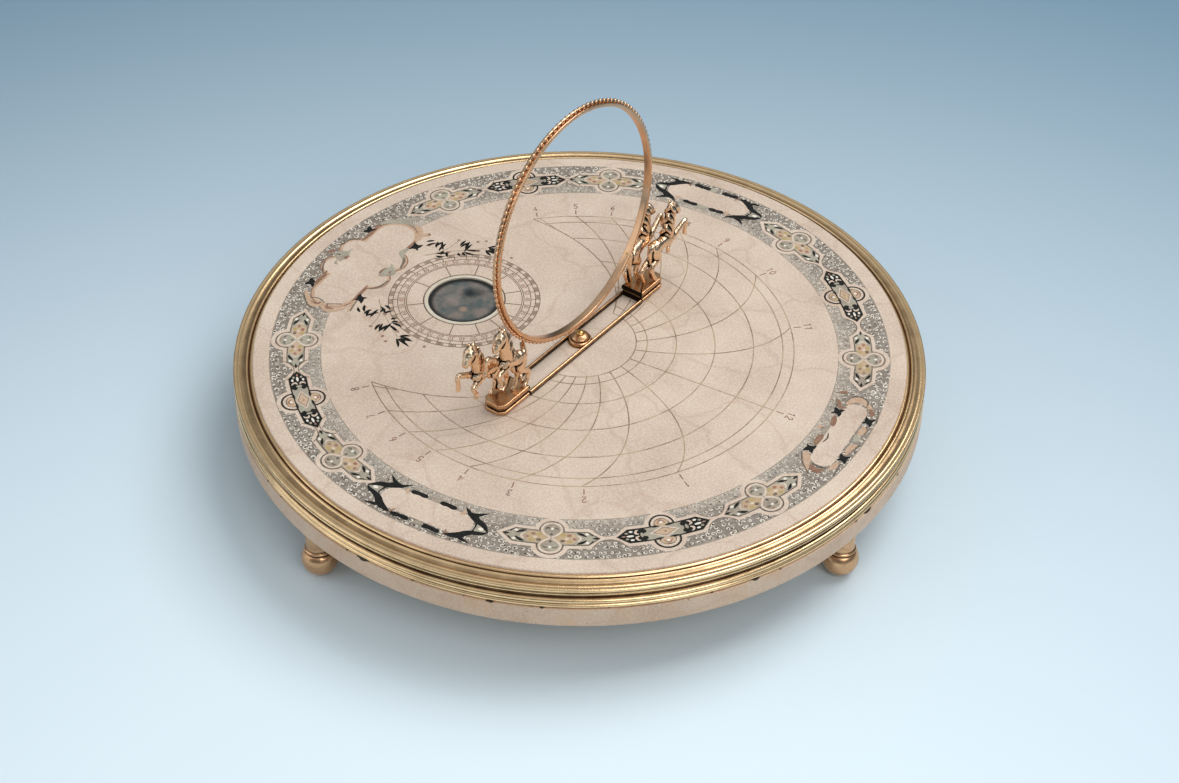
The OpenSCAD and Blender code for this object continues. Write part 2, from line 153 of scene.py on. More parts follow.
# Plain soft studio light: the key is a wide soft box above the dial, behind it and to the right, so the
# shadow falls to the front and the left. Two weaker ones fill from the front right and from the left. The sky
# is dim near the table and pale overhead, so polished brass has dark undersides and pale tops.
sky = bpy.data.worlds.new("soft_sky")
sky.use_nodes = True
background = sky.node_tree.nodes["Background"]
background.inputs["Color"].default_value = linear("#e8eef2")
ray = add(sky.node_tree, "SeparateXYZ", {0: add(sky.node_tree, "TexCoord").outputs["Generated"]})
glow = add(sky.node_tree, "MapRange", {0: ray.outputs[2], 1: 0.1, 2: 0.95, 3: 0.13, 4: 0.68},
           interpolation_type="SMOOTHSTEP")
sky.node_tree.links.new(glow.outputs[0], background.inputs["Strength"])
bpy.context.scene.world = sky
# each light's turn round the dial and rise above it in degrees, its distance and width in m, and its watts
for name, turn, rise, far, wide, power in (
        ("key_light", 150, 60, 2.3, 1.5, 32), ("front_light", 55, 38, 1.6, 0.9, 6.5),
        ("side_light", -48, 24, 1.6, 1.3, 4)):
    light_data = bpy.data.lights.new(name, "AREA")
    light_data.size = wide
    light_data.energy = power
    light = bpy.data.objects.new(name, light_data)
    a, e = math.radians(turn), math.radians(rise)
    towards = Vector((math.sin(a) * math.cos(e), -math.cos(a) * math.cos(e), math.sin(e)))
    light.location = towards * far
    light.rotation_euler = (-towards).to_track_quat("-Z", "Y").to_euler()
    bpy.context.scene.collection.objects.link(light)

# The slab is a fine warm limestone, sawn, turned on its edge and honed. It is faintly clouded and veined,
# and the bare wall below the hoop is coarser: it is pitted, a little stained, and chipped under the brass.
under_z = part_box("stone_slab")[0].z
face_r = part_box("rim_bedding")[1].x - 8.0 * mm
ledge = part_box("rim_hoop")[0].z / mm


def limestone():
    """Honed limestone: cream clouds, thin pinkish veins, fine grain; pits and chips only on the wall."""
    made, tree, in_mm = new_material("honed_limestone")
    cloud = add(tree, "TexNoise", {"Vector": in_mm, "Scale": 1 / 38, "Detail": 5.0, "Roughness": 0.62})
    cloud = add(tree, "ValToRGB", {0: cloud}, ramp=(0.33, 0.68))
    tone = add(tree, "Mix", {0: cloud, 6: "#dac7b4", 7: "#c8b29f"}, data_type="RGBA")
    grain = add(tree, "TexNoise", {"Vector": in_mm, "Scale": 1 / 0.9, "Detail": 4.0, "Roughness": 0.7})
    grain_mask = add(tree, "ValToRGB", {0: grain}, ramp=(0.42, 0.62))
    tone = add(tree, "Mix", {0: 0.14, 6: tone, 7: grain_mask}, data_type="RGBA", blend_type="OVERLAY")
    warp = add(tree, "TexNoise", {"Vector": in_mm, "Scale": 1 / 24, "Detail": 4.0})
    warped = add(tree, "VectorMath", {0: warp.outputs[1], 1: (30, 30, 30)}, operation="MULTIPLY")
    warped = add(tree, "VectorMath", {0: in_mm, 1: warped}, operation="ADD")
    vein = add(tree, "TexVoronoi", {"Vector": warped, "Scale": 1 / 46}, feature="DISTANCE_TO_EDGE")
    vein = add(tree, "ValToRGB", {0: vein}, ramp=(0.004, 0.03))
    vein = add(tree, "Math", {0: 1.0, 1: vein}, operation="SUBTRACT")
    vein = add(tree, "Math", {0: vein, 1: 0.22}, operation="MULTIPLY")
    tone = add(tree, "Mix", {0: vein, 6: tone, 7: "#a9856d"}, data_type="RGBA")
    # the wall: everything lower than the underside of the hoop
    parts = add(tree, "SeparateXYZ", {0: in_mm})
    low = add(tree, "MapRange", {0: parts.outputs[2], 1: ledge, 2: ledge + 1, 3: 1.0, 4: 0.0})
    pit = add(tree, "TexVoronoi", {"Vector": in_mm, "Scale": 1 / 2.6})
    pit = add(tree, "ValToRGB", {0: pit}, ramp=(0.08, 0.2))
    patch = add(tree, "TexNoise", {"Vector": in_mm, "Scale": 1 / 9, "Detail": 3.0})
    patch = add(tree, "ValToRGB", {0: patch}, ramp=(0.5, 0.66))
    pitted = add(tree, "Math", {0: 1.0, 1: pit}, operation="SUBTRACT")
    pitted = add(tree, "Math", {0: pitted, 1: patch}, operation="MULTIPLY")
    pitted = add(tree, "Math", {0: pitted, 1: low}, operation="MULTIPLY")
    tone = add(tree, "Mix", {0: pitted, 6: tone, 7: "#7d6448"}, data_type="RGBA")
    stain = add(tree, "TexNoise", {"Vector": in_mm, "Scale": 1 / 17, "Detail": 5.0, "Roughness": 0.65})
    stain = add(tree, "ValToRGB", {0: stain}, ramp=(0.52, 0.75))
    stain = add(tree, "Math", {0: stain, 1: 0.35, 2: 0.3}, operation="MULTIPLY_ADD")
    stain = add(tree, "Math", {0: stain, 1: low}, operation="MULTIPLY")
    tone = add(tree, "Mix", {0: stain, 6: tone, 7: "#d09c69"}, data_type="RGBA")
    # chips of the arris right under the brass, dark with old mastic
    near_top = add(tree, "MapRange", {0: parts.outputs[2], 1: ledge - 2.2, 2: ledge, 3: 0.0, 4: 0.36})
    chip = add(tree, "TexNoise", {"Vector": in_mm, "Scale": 1 / 7, "Detail": 2.0})
    chip = add(tree, "Math", {0: chip, 1: near_top}, operation="ADD")
    chip = add(tree, "ValToRGB", {0: chip}, ramp=(0.93, 0.96))
    chip = add(tree, "Math", {0: chip, 1: low}, operation="MULTIPLY")
    tone = add(tree, "Mix", {0: chip, 6: tone, 7: "#3b2c20"}, data_type="RGBA")
    rough = add(tree, "MapRange", {0: cloud, 3: 0.42, 4: 0.56})
    relief = add(tree, "Math", {0: grain, 1: pitted}, operation="SUBTRACT")
    bump = add(tree, "Bump", {"Height": relief, "Strength": 0.25, "Distance": 0.0001})
    shader = add(tree, "BsdfPrincipled", {"Base Color": tone, "Roughness": rough, "IOR": 1.5,
                                          "Normal": bump})
    add(tree, "OutputMaterial", {"Surface": shader})
    return made


def finish_node(name, material):
    """Gives a node that stays as it was built its material, in its one slot."""
    node[name].data.materials.clear()
    node[name].data.materials.append(material)


stone = limestone()
finish_node("stone_slab", stone)

# The bush through the middle of the slab, the compass box and the cemented sockets of the feet are plain
# turned brass. The studs of the feet and the needle's pin are bright drawn steel.


def metal(name, bright, deep, rough, spots, chased=0.0):
    """A worn metal: tone drifts between two colours, deepest in hollows, with fine scratches.

    The attribute hollow is 0 on open surfaces and 1 in grooves and where a piece marks painted shade; it
    darkens the tone and raises the roughness. spots is the size of the drift in mm, and chased the depth of
    the chaser's dents, which are 1.4 mm across, as a share of 0.4 mm."""
    made, tree, in_mm = new_material(name)
    drift = add(tree, "TexNoise", {"Vector": in_mm, "Scale": 1 / spots, "Detail": 5.0, "Roughness": 0.65})
    drift = add(tree, "ValToRGB", {0: drift}, ramp=(0.42, 0.78))
    drift = add(tree, "Math", {0: drift, 1: 0.32}, operation="MULTIPLY")
    hollow = add(tree, "Attribute", attribute_name="hollow")
    # the random drift of the tone, plus the painted shade that the hollow attribute carries
    drift_and_shade = add(tree, "Math", {0: drift, 1: hollow.outputs[2]}, operation="ADD", use_clamp=True)
    tone = add(tree, "Mix", {0: drift_and_shade, 6: bright, 7: deep}, data_type="RGBA")
    fine = add(tree, "TexNoise", {"Vector": in_mm, "Scale": 1 / 0.35, "Detail": 4.0, "Roughness": 0.7})
    rough_low = add(tree, "MapRange", {0: fine, 1: 0.3, 2: 0.7, 3: rough - 0.06, 4: rough + 0.06})
    rough_all = add(tree, "Math", {0: drift_and_shade, 1: 0.22, 2: rough_low}, operation="MULTIPLY_ADD")
    bump = add(tree, "Bump", {"Height": fine, "Strength": 0.12, "Distance": 0.00005})
    if chased:
        dents = add(tree, "TexNoise", {"Vector": in_mm, "Scale": 1 / 1.4, "Detail": 2.0})
        bump = add(tree, "Bump", {"Height": dents, "Strength": chased, "Distance": 0.4 * mm,
                                  "Normal": bump})
    shader = add(tree, "BsdfPrincipled", {"Base Color": tone, "Metallic": 1.0,
                                          "Roughness": rough_all, "Normal": bump})
    add(tree, "OutputMaterial", {"Surface": shader})
    return made


turned_brass = metal("turned_brass", "#c9a468", "#6e5230", 0.3, spots=4.0)
drawn_steel = metal("drawn_steel", "#a9adb0", "#5c6165", 0.3, spots=3.0)
for name in ("centre_bush", "compass_box", "glass_seat", "foot_sockets", "horse_tangs"):
    finish_node(name, turned_brass)
for name in ("foot_studs", "compass_pivot"):
    finish_node(name, drawn_steel)

# Dark mastic beds the hoop on the stone and seals the compass box. It shows as a thin dark line.


def old_mastic():
    """Aged mastic: brown-black, matt, with a crumbly surface."""
    made, tree, in_mm = new_material("old_mastic")
    crumb = add(tree, "TexNoise", {"Vector": in_mm, "Scale": 1 / 1.2, "Detail": 4.0})
    tone = add(tree, "Mix", {0: crumb, 6: "#1c140f", 7: "#43342a"}, data_type="RGBA")
    bump = add(tree, "Bump", {"Height": crumb, "Strength": 0.5, "Distance": 0.0001})
    shader = add(tree, "BsdfPrincipled", {"Base Color": tone, "Roughness": 0.8, "Normal": bump})
    add(tree, "OutputMaterial", {"Surface": shader})
    return made


mastic = old_mastic()
finish_node("rim_bedding", mastic)
finish_node("compass_bedding", mastic)

# Four turned brass feet: a flange against the stone, a neck nearly as wide as the ball, a bead, and a ball
# that is worn flat where it stands. They were gilt, and the gilding has dulled to brown on the balls.


def arc(x, z, r, first, last, steps=8):
    """Points of a circle's arc: centre, radius and the first and last angle in degrees."""
    a = np.radians(np.linspace(first, last, steps + 1))
    return np.stack([x + r * np.cos(a), z + r * np.sin(a)], 1)


def even(line, step):
    """The line cut again into stretches of about one step, by length along it."""
    line = np.asarray(line, float)
    run = np.concatenate([[0], np.cumsum(np.linalg.norm(np.diff(line, axis=0), axis=1))])
    at = np.linspace(0, run[-1], max(2, int(round(run[-1] / step)) + 1))
    return np.stack([np.interp(at, run, line[:, k]) for k in range(line.shape[1])], 1)


def worn(line, passes):
    """Corners rounded by wear: each inner point moves halfway to the mean of its neighbours, in passes."""
    line = line.copy()
    for _ in range(passes):
        line[1:-1] += 0.5 * ((line[:-2] + line[2:]) / 2 - line[1:-1])
    return line


def hollows(line, reach):
    """How far each point of a profile lies in a groove: its depth below the mean line of its surroundings,
    measured along the outward side, and scaled so that a groove as deep as a tenth of the reach gives 1."""
    step = np.linalg.norm(np.diff(line, axis=0), axis=1).mean()
    k = max(1, int(reach / step))
    padded = np.pad(line, ((k, k), (0, 0)), mode="edge")
    window = np.hanning(2 * k + 3)[1:-1]
    mean = np.stack([np.convolve(padded[:, c], window / window.sum(), "valid") for c in (0, 1)], 1)
    along = np.gradient(line, axis=0)
    outward = np.stack([along[:, 1], -along[:, 0]], 1)
    outward /= np.maximum(np.linalg.norm(outward, axis=1, keepdims=True), 1e-9)
    return np.clip(((mean - line) * outward).sum(1) / (0.1 * reach), 0, 1)


def lathe(line, turns, closed=False):
    """A surface of revolution: each radius and height of the line is carried round the Z axis."""
    a = np.linspace(0, 2 * np.pi, turns, endpoint=False)
    rows = len(line)
    points = np.stack([line[:, :1] * np.cos(a), line[:, :1] * np.sin(a), line[:, 1:] + 0 * a],
                      2).reshape(-1, 3)
    i, j = np.meshgrid(np.arange(rows if closed else rows - 1), np.arange(turns), indexing="ij")
    up, on = (i + 1) % rows, (j + 1) % turns
    quads = np.stack([i * turns + j, i * turns + on, up * turns + on, up * turns + j], 2).reshape(-1, 4)
    return points, quads


def merge(made):
    """Merges points that meet, as at a pole, and drops the faces that this leaves without area."""
    work = bmesh.new()
    work.from_mesh(made.data)
    bmesh.ops.remove_doubles(work, verts=work.verts, dist=2e-7)
    bmesh.ops.dissolve_degenerate(work, edges=work.edges, dist=1e-8)
    work.to_mesh(made.data)
    work.free()
    made.data.set_sharp_from_angle(angle=math.radians(40))
    return made


def mark_hollows(made, values):
    """Stores one number for each point as the attribute that the metals read."""
    attribute = made.data.attributes.new("hollow", "FLOAT", "POINT")
    attribute.data.foreach_set("value", np.ascontiguousarray(values, np.float32))


dull_gilt = metal("dull_gilt_brass", "#e0b186", "#4a3020", 0.25, spots=5.0)
ball_r = 7.7 * mm
ball_z = ball_r - 0.25 * mm
neck_r = 5.65 * mm
# the ball ends 3 degrees before its radius has shrunk to 5.9 mm
join = math.degrees(math.acos(5.9 / 7.7)) - 3
join_r = ball_r * math.cos(math.radians(join))
join_z = ball_z + ball_r * math.sin(math.radians(join))
foot_line = np.vstack([
    [(0, 0), (1.6 * mm, 0)],
    arc(0, ball_z, ball_r, -70, join, 40),
    [(join_r - 0.45 * mm, join_z + 0.3 * mm), (join_r - 0.45 * mm, join_z + 0.7 * mm)],
    arc(neck_r - 0.15 * mm, join_z + 1.4 * mm, 0.7 * mm, -75, 75, 10),
    [(neck_r - 0.2 * mm, join_z + 2.3 * mm), (neck_r - 0.35 * mm, join_z + 4.5 * mm),
     (neck_r - 0.1 * mm, under_z - 2.4 * mm), (6.2 * mm, under_z - 1.4 * mm)],
    arc(5.8 * mm, under_z - 0.7 * mm, 0.6 * mm, -75, 60, 8),
    [(5.6 * mm, under_z), (0, under_z)]])
foot_line = worn(even(foot_line, 0.22 * mm), 2)
foot_line[[0, -1], 0] = 0
# the grooves of each foot are darkened: part tarnish, part painted shade
for number in (1, 2, 3, 4):
    low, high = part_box(f"foot_{number}")
    points, quads = lathe(foot_line, 72)
    points += ((low.x + high.x) / 2, (low.y + high.y) / 2, 0)
    foot = mesh_object(f"turned_foot_{number}", points, quads, dull_gilt)
    mark_hollows(foot, np.repeat(hollows(foot_line, 1.2 * mm), 72))
    merge(foot)
    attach(foot, "root")
    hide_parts(f"foot_{number}")

# The hoop is one casting of gilt brass, turned to a bold moulding and dropped over the stepped edge of the
# slab. From the stone outwards: a bead, a quirk, a broad cavetto, a double bead, fine lines, a dark groove
# and a thick torus at the bottom. The high parts are bright, and the grooves are brown: part tarnish, part
# painted shade.
polished_gilt = metal("polished_gilt_brass", "#fdd7a4", "#4a2e1a", 0.2, spots=9.0)
in_r = face_r + 0.3 * mm
rim_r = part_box("rim_hoop")[1].x
skirt_r = rim_r - 3.1 * mm


def rim_point(dr, dz, base=in_r):
    """A point of the moulding, by its distance from a base radius and its depth below the face, in mm."""
    return np.array([[base + dr * mm, face_z - dz * mm]])


hoop_line = np.vstack([
    rim_point(-0.65, 11.45, rim_r), arc(rim_r - 0.95 * mm, face_z - 10.3 * mm, 1.0 * mm, -62, 60, 12),
    rim_point(-0.62, 9.35, rim_r), rim_point(-0.85, 9.15, rim_r),
    arc(rim_r - 1.1 * mm, face_z - 7.95 * mm, 1.15 * mm, -62, 72, 14),
    rim_point(-1.0, 6.75, rim_r), rim_point(-1.35, 6.4, rim_r), rim_point(-1.35, 5.6, rim_r),
    rim_point(-1.0, 5.1, rim_r), rim_point(-0.9, 4.6, rim_r), rim_point(-0.62, 4.4, rim_r),
    arc(rim_r - 0.45 * mm, face_z - 3.75 * mm, 0.43 * mm, -70, 65, 8),
    rim_point(-0.42, 3.1, rim_r), rim_point(-0.2, 2.75, rim_r),
    arc(rim_r - 0.65 * mm, face_z - 2.0 * mm, 0.65 * mm, -36, 100, 12),
    rim_point(6.7, 1.5), rim_point(6.45, 1.35), rim_point(6.3, 1.35),
    arc(in_r + 4.7 * mm, face_z + 0.35 * mm, 2.2 * mm, -54, -126, 12),
    rim_point(3.1, 1.15), rim_point(2.75, 1.1), rim_point(2.45, 1.25), rim_point(2.3, 1.6),
    rim_point(1.7, 1.6), rim_point(1.45, 1.45), rim_point(1.3, 1.15), rim_point(1.0, 1.05),
    rim_point(0.4, 1.05), rim_point(0.1, 1.2), rim_point(0, 1.5)])
hoop_line = worn(even(hoop_line, 0.17 * mm), 2)
hoop_back = np.vstack([rim_point(0, 3.65), [[skirt_r, face_z - 3.65 * mm], [skirt_r, face_z - 11.45 * mm]]])
hoop_turns = 360
hoop_ring = np.vstack([hoop_line, hoop_back])
hoop = mesh_object("moulded_hoop", *lathe(hoop_ring, hoop_turns, closed=True), polished_gilt)
# the grooves are darkened, part tarnish and part painted shade; the back against the stone is painted dark
# all over as shade
hoop_hollows = np.concatenate([hollows(hoop_line, 1.6 * mm), np.ones(len(hoop_back))])
mark_hollows(hoop, np.repeat(hoop_hollows, hoop_turns))
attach(hoop, "root")
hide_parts("rim_hoop")

# The dial is engraved in the stone and filled with colour: circles for the sun's declination through the
# year, a fan of hour lines across them, and short ticks with the hours, noon lying along +X.


def clouded(tree, in_mm, tone, colour, size, ramp, share, detail, rough=0.5):
    """Lays a colour over a tone in clouds of a size in mm: noise, stretched by the ramp, times the share."""
    mask = add(tree, "TexNoise", {"Vector": in_mm, "Scale": 1 / size, "Detail": detail, "Roughness": rough})
    mask = add(tree, "ValToRGB", {0: mask}, ramp=ramp)
    mask = add(tree, "Math", {0: mask, 1: share}, operation="MULTIPLY")
    return add(tree, "Mix", {0: mask, 6: tone, 7: colour}, data_type="RGBA")


def paint(name, hex_colour, fade, faded_to="#cdb9a3", speck=1.0, drift_to=None):
    """Old colour rubbed into fine engraving: it thins out to the stone where a noise of speck mm is high,
    and drifts to a second tone over about 14 mm where one is given."""
    made, tree, in_mm = new_material(name)
    body = clouded(tree, in_mm, hex_colour, drift_to or hex_colour, 14, (0.42, 0.6), 1.0, 3.0)
    rubbed = add(tree, "TexNoise", {"Vector": in_mm, "Scale": 1 / speck, "Detail": 5.0, "Roughness": 0.7})
    rubbed = add(tree, "MapRange", {0: rubbed, 1: 0.4, 2: 0.7, 3: 0.0, 4: fade})
    tone = add(tree, "Mix", {0: rubbed, 6: body, 7: faded_to}, data_type="RGBA")
    shader = add(tree, "BsdfPrincipled", {"Base Color": tone, "Roughness": 0.7, "Specular IOR Level": 0.2})
    add(tree, "OutputMaterial", {"Surface": shader})
    return made


def strip(path, half, low, high, closed=False):
    """A flat filled stroke: each point of the path moves half the width to either side along the path's
    normal, at a lower and an upper height, and these four corners a point make one closed prism."""
    path = np.asarray(path, float)
    count = len(path)
    half = np.broadcast_to(half, count)[:, None]
    along = np.roll(path, -1, 0) - np.roll(path, 1, 0) if closed else np.gradient(path, axis=0)
    side = np.stack([-along[:, 1], along[:, 0]], 1)
    side /= np.maximum(np.linalg.norm(side, axis=1, keepdims=True), 1e-12)
    left, right = path + side * half, path - side * half
    corners = np.stack([left, right, right, left], 1)
    heights = np.broadcast_to(np.array([low, low, high, high]), (count, 4))[:, :, None]
    points = np.concatenate([corners, heights], 2).reshape(-1, 3)
    i, k = np.meshgrid(np.arange(count if closed else count - 1), np.arange(4), indexing="ij")
    on, around = (i + 1) % count, (k + 1) % 4
    quads = np.stack([i * 4 + k, on * 4 + k, on * 4 + around, i * 4 + around], 2).reshape(-1, 4)
    if not closed:
        last = 4 * (count - 1)
        quads = np.vstack([quads, [[0, 1, 2, 3], [last + 3, last + 2, last + 1, last]]])
    return points, quads


def together(shapes):
    """Several shapes as one: the points one after another, and the faces with their numbers moved on."""
    starts = np.cumsum([0] + [len(points) for points, quads in shapes[:-1]])
    return (np.vstack([points for points, quads in shapes]),
            np.vstack([quads + start for start, (points, quads) in zip(starts, shapes)]))


def polar(radius, degrees):
    """Points in the dial's plane, by radius and by angle from the noon line."""
    a = np.radians(degrees)
    return np.stack(np.broadcast_arrays(radius * np.cos(a), radius * np.sin(a)), -1)


def inlay(name, shapes, material):
    """One painted piece of the dial: its strokes as one mesh, which rides on the stone. Each stroke is a
    micron or so higher than the one before, in turns of nine, so that strokes that cross stay clean."""
    lifted = [(points + (0, 0, k % 9 * 0.0015 * mm), quads) for k, (points, quads) in enumerate(shapes)]
    made = mesh_object(name, *together(lifted), material, smooth=False)
    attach(made, "root")
    return made


# each layer of colour lies a hair above the one below it, so that they never meet in one plane
sunk = face_z - 0.05 * mm
layer = [face_z + (0.02 + 0.02 * k) * mm for k in range(9)]
equator_r, solstice_step, obliquity = 58.8 * mm, 34.3 * mm, 23.5
signs = (-23.5, -20.2, -11.5, 0, 11.5, 20.2, 23.5)
line_half = 0.24 * mm
line_brown = paint("brown_line_filling", "#7c6652", 0.5, speck=2.0, drift_to="#b09a7c")


def date_radius(declination):
    """Circles of the declination: evenly spaced by degree, 58.8 mm at the equinox, 34.3 mm to a solstice."""
    return equator_r + solstice_step * declination / obliquity


def hour_angle(hour, declination, latitude=45.0, opened=1.03):
    """The sun's azimuth from south at an hour angle and a declination, in degrees; the fan is drawn opened
    by three hundredths, as it is on the stone."""
    h, d, lat = np.radians(hour), np.radians(declination), math.radians(latitude)
    return opened * np.degrees(np.arctan2(np.sin(h), math.sin(lat) * np.cos(h) - math.cos(lat) * np.tan(d)))


def fan_edge(declination):
    """The side of the fan, as an angle from noon: 110 degrees at the equinox, and about a degree more for
    each degree of declination, a little less so towards the solstices."""
    return 110.3 + 1.07 * declination - 0.0045 * declination ** 2


lines = []
for sign in signs:
    path = polar(date_radius(sign), np.linspace(-fan_edge(sign), fan_edge(sign), 181))
    lines.append(strip(path, line_half, sunk, layer[0]))
days = np.linspace(-obliquity, obliquity, 61)
for hour in range(-120, 121, 15):
    inside = np.abs(hour_angle(hour, days)) <= fan_edge(days)
    path = polar(date_radius(days[inside]), hour_angle(hour, days[inside]))
    lines.append(strip(path, line_half, sunk, layer[1]))
for side in (-1, 1):
    lines.append(strip(polar(date_radius(days), side * fan_edge(days)), line_half, sunk, layer[1]))
inlay("hour_lines", lines, line_brown)

tick_in, tick_out, numeral_r, numeral_h = 94.6 * mm, 97.8 * mm, 99.2 * mm, 3.4 * mm
red_brown = paint("red_brown_filling", "#694438", 0.3, speck=1.5, drift_to="#8a5a44")


def flow(knots, per):
    """Catmull-Rom curve through the knots: each stretch is a cubic of its four nearest knots."""
    k = np.asarray(knots, float)
    k = np.vstack([2 * k[0] - k[1], k, 2 * k[-1] - k[-2]])
    t = np.linspace(0, 1, per, endpoint=False)[None, :, None]
    a, b, c, d = k[:-3, None], k[1:-2, None], k[2:-1, None], k[3:, None]
    bends = 0.5 * (2 * b + (c - a) * t + (2 * a - 5 * b + 4 * c - d) * t ** 2
                   + (3 * b - a - 3 * c + d) * t ** 3)
    return np.vstack([bends.reshape(-1, k.shape[1]), k[-2:-1]])


# pen strokes of the figures, in a cell 0.6 wide and 1 high; the straight ones are not smoothed
STRAIGHT = {"1": [(0.14, 0.76), (0.32, 1), (0.32, 0)],
            "4": [(0.42, 0), (0.42, 1), (0.05, 0.32), (0.58, 0.32)],
            "7": [(0.06, 1), (0.56, 1), (0.24, 0)]}
CURVED = {"0": [(0.3, 0), (0.08, 0.3), (0.08, 0.7), (0.3, 1), (0.52, 0.7), (0.52, 0.3), (0.3, 0)],
          "2": [(0.08, 0.76), (0.3, 1), (0.52, 0.76), (0.38, 0.45), (0.06, 0.02), (0.56, 0)],
          "3": [(0.1, 0.88), (0.32, 1), (0.52, 0.8), (0.3, 0.55), (0.54, 0.28), (0.3, 0), (0.06, 0.14)],
          "5": [(0.5, 1), (0.15, 1), (0.1, 0.58), (0.34, 0.62), (0.54, 0.34), (0.32, 0), (0.06, 0.12)],
          "6": [(0.46, 0.97), (0.2, 0.72), (0.08, 0.32), (0.3, 0), (0.52, 0.28), (0.32, 0.52), (0.1, 0.34)],
          "8": [(0.3, 0.54), (0.1, 0.76), (0.3, 1), (0.5, 0.76), (0.3, 0.54), (0.06, 0.26), (0.3, 0),
                (0.54, 0.26), (0.3, 0.54)],
          "9": [(0.5, 0.66), (0.28, 0.46), (0.08, 0.72), (0.3, 1), (0.5, 0.68), (0.4, 0.3), (0.14, 0.04)]}


def figures(text, height, foot, turn, half, top):
    """A number in pen strokes, centred on its foot point; turn is the direction of reading in degrees."""
    made = []
    for place, mark in enumerate(text):
        stroke = np.array(STRAIGHT[mark]) if mark in STRAIGHT else flow(CURVED[mark], 3)
        stroke = (stroke + (0.72 * (place - (len(text) - 1) / 2) - 0.3, 0)) * height
        c, s = math.cos(math.radians(turn)), math.sin(math.radians(turn))
        made.append(strip(stroke @ np.array([(c, s), (-s, c)]) + foot, half, sunk, top))
    return made


hours = []
for place, label in zip((0, 35.5, 59.75, 77, 89.25, 101, 110.5, 120.5, 131.5), range(12, 21)):
    for side in ((1, -1) if place else (1,)):
        a = side * place
        number = str((label - 1) % 12 + 1 if side < 0 or not place else 24 - label)
        hours.append(strip(polar(np.linspace(tick_in, tick_out, 2), a), line_half, sunk, layer[1]))
        hours += figures(number, numeral_h, polar(numeral_r, a), a - 90, 0.2 * mm, layer[1])
inlay("hour_figures", hours, red_brown)

# The border is a painted band of grey-brown ground, closely filled with small pale curls. Pale ribbons frame
# long hexagons with a round lobe above and below, and join in a narrow waist between one and the next.
band_in, band_out = 112.4 * mm, 134.5 * mm
band_mid = 123.2 * mm


def scroll_ground():
    """Grey ground, browner and darker in its outer half, dabbed pale and dark by the brush at about 1 mm."""
    made, tree, in_mm = new_material("grey_brown_ground")
    out = add(tree, "VectorMath", {0: in_mm}, operation="LENGTH")
    wash = add(tree, "TexNoise", {"Vector": in_mm, "Scale": 1 / 6, "Detail": 4.0, "Roughness": 0.6})
    shift = add(tree, "MapRange", {0: wash, 1: 0.3, 2: 0.7, 3: -4.0, 4: 4.0})
    out = add(tree, "Math", {0: out, 1: shift}, operation="ADD")
    outer = add(tree, "MapRange", {0: out, 1: 121.0, 2: 130.0})
    tone = add(tree, "Mix", {0: outer, 6: "#bcae9e", 7: "#83766a"}, data_type="RGBA")
    tone = clouded(tree, in_mm, tone, "#9b958b", 11, (0.45, 0.62), 0.35, 2.0)
    tone = clouded(tree, in_mm, tone, "#d2c6b6", 1.1, (0.52, 0.66), 0.35, 4.0, 0.75)
    tone = clouded(tree, in_mm, tone, "#575046", 0.9, (0.52, 0.62), 0.55, 3.0, 0.75)
    shader = add(tree, "BsdfPrincipled", {"Base Color": tone, "Roughness": 0.52})
    add(tree, "OutputMaterial", {"Surface": shader})
    return made


round_trip = np.arange(0, 360, 1.0)
ground_brown = scroll_ground()
dark_line = paint("dark_outline", "#5f5548", 0.4, speck=1.4, drift_to="#4a4640")
inlay("band_ground", [strip(polar(0.5 * (band_in + band_out), round_trip), 0.5 * (band_out - band_in),
                            sunk, layer[0], closed=True)], ground_brown)
inlay("band_edges", [strip(polar(r, round_trip), 0.16 * mm, sunk, layer[1], closed=True)
                     for r in (band_in, band_out)], paint("faint_edge", "#8b8073", 0.6, speck=2.0))


def curl(centre_r, degrees, reach, hand, first, turns):
    """A small scroll: the radius from its eye grows evenly with the angle, through its number of turns."""
    t = np.linspace(0.15, 1, 12)
    a = np.radians(first) + hand * turns * 2 * np.pi * t
    return polar(centre_r, degrees) + reach * t[:, None] * np.stack([np.cos(a), np.sin(a)], 1)


# curls of many sizes, larger and bolder in the outer half; each has a short dark stroke beside it
draw = np.random.default_rng(7)
curls, shades = [], []
for row, r in enumerate(np.linspace(band_in + 1.2 * mm, band_out - 1.3 * mm, 9)):
    bold = 0.25 + 0.75 * row / 8
    count = int(2 * math.pi * r / (2.75 * mm))
    for k in range(count):
        at = (k + 0.5 * (row % 2) + draw.uniform(-0.3, 0.3)) * 360 / count
        reach = draw.uniform(0.75, 1.05 + 0.5 * bold) * mm
        first, turns = draw.uniform(0, 360), draw.uniform(0.55, 1.3)
        centre_r = r + draw.uniform(-0.5, 0.5) * mm
        path = curl(centre_r, at, reach, draw.choice((-1, 1)), first, turns)
        widths = np.linspace(0.08 + 0.27 * bold, 0.08, len(path)) * draw.uniform(0.7, 1.25)
        curls.append(strip(path, widths * mm, sunk, layer[1]))
        a = math.radians(first + 90)
        across = np.array([math.cos(a), math.sin(a)]) * draw.uniform(0.3, 0.8) * mm
        middle = polar(centre_r, at + draw.uniform(-0.5, 0.5))
        shades.append(strip(np.array([middle - across, middle, middle + across]),
                            np.array([0.05, 0.13 + 0.27 * bold, 0.05]) * mm, sunk, layer[1] - 0.008 * mm))
inlay("band_shades", shades, paint("brown_black_shades", "#29251f", 0.38, faded_to="#857b6b", speck=1.1))
inlay("band_scrolls", curls, paint("pale_scrolls", "#ebe1d1", 0.3, faded_to="#a89f90", speck=1.3))


def bend(s, t, centre_degrees):
    """From the band's own directions, s along it and t outwards from its middle, to the dial's plane."""
    return polar(band_mid + np.asarray(t, float),
                 centre_degrees + np.degrees(np.asarray(s, float) / band_mid))


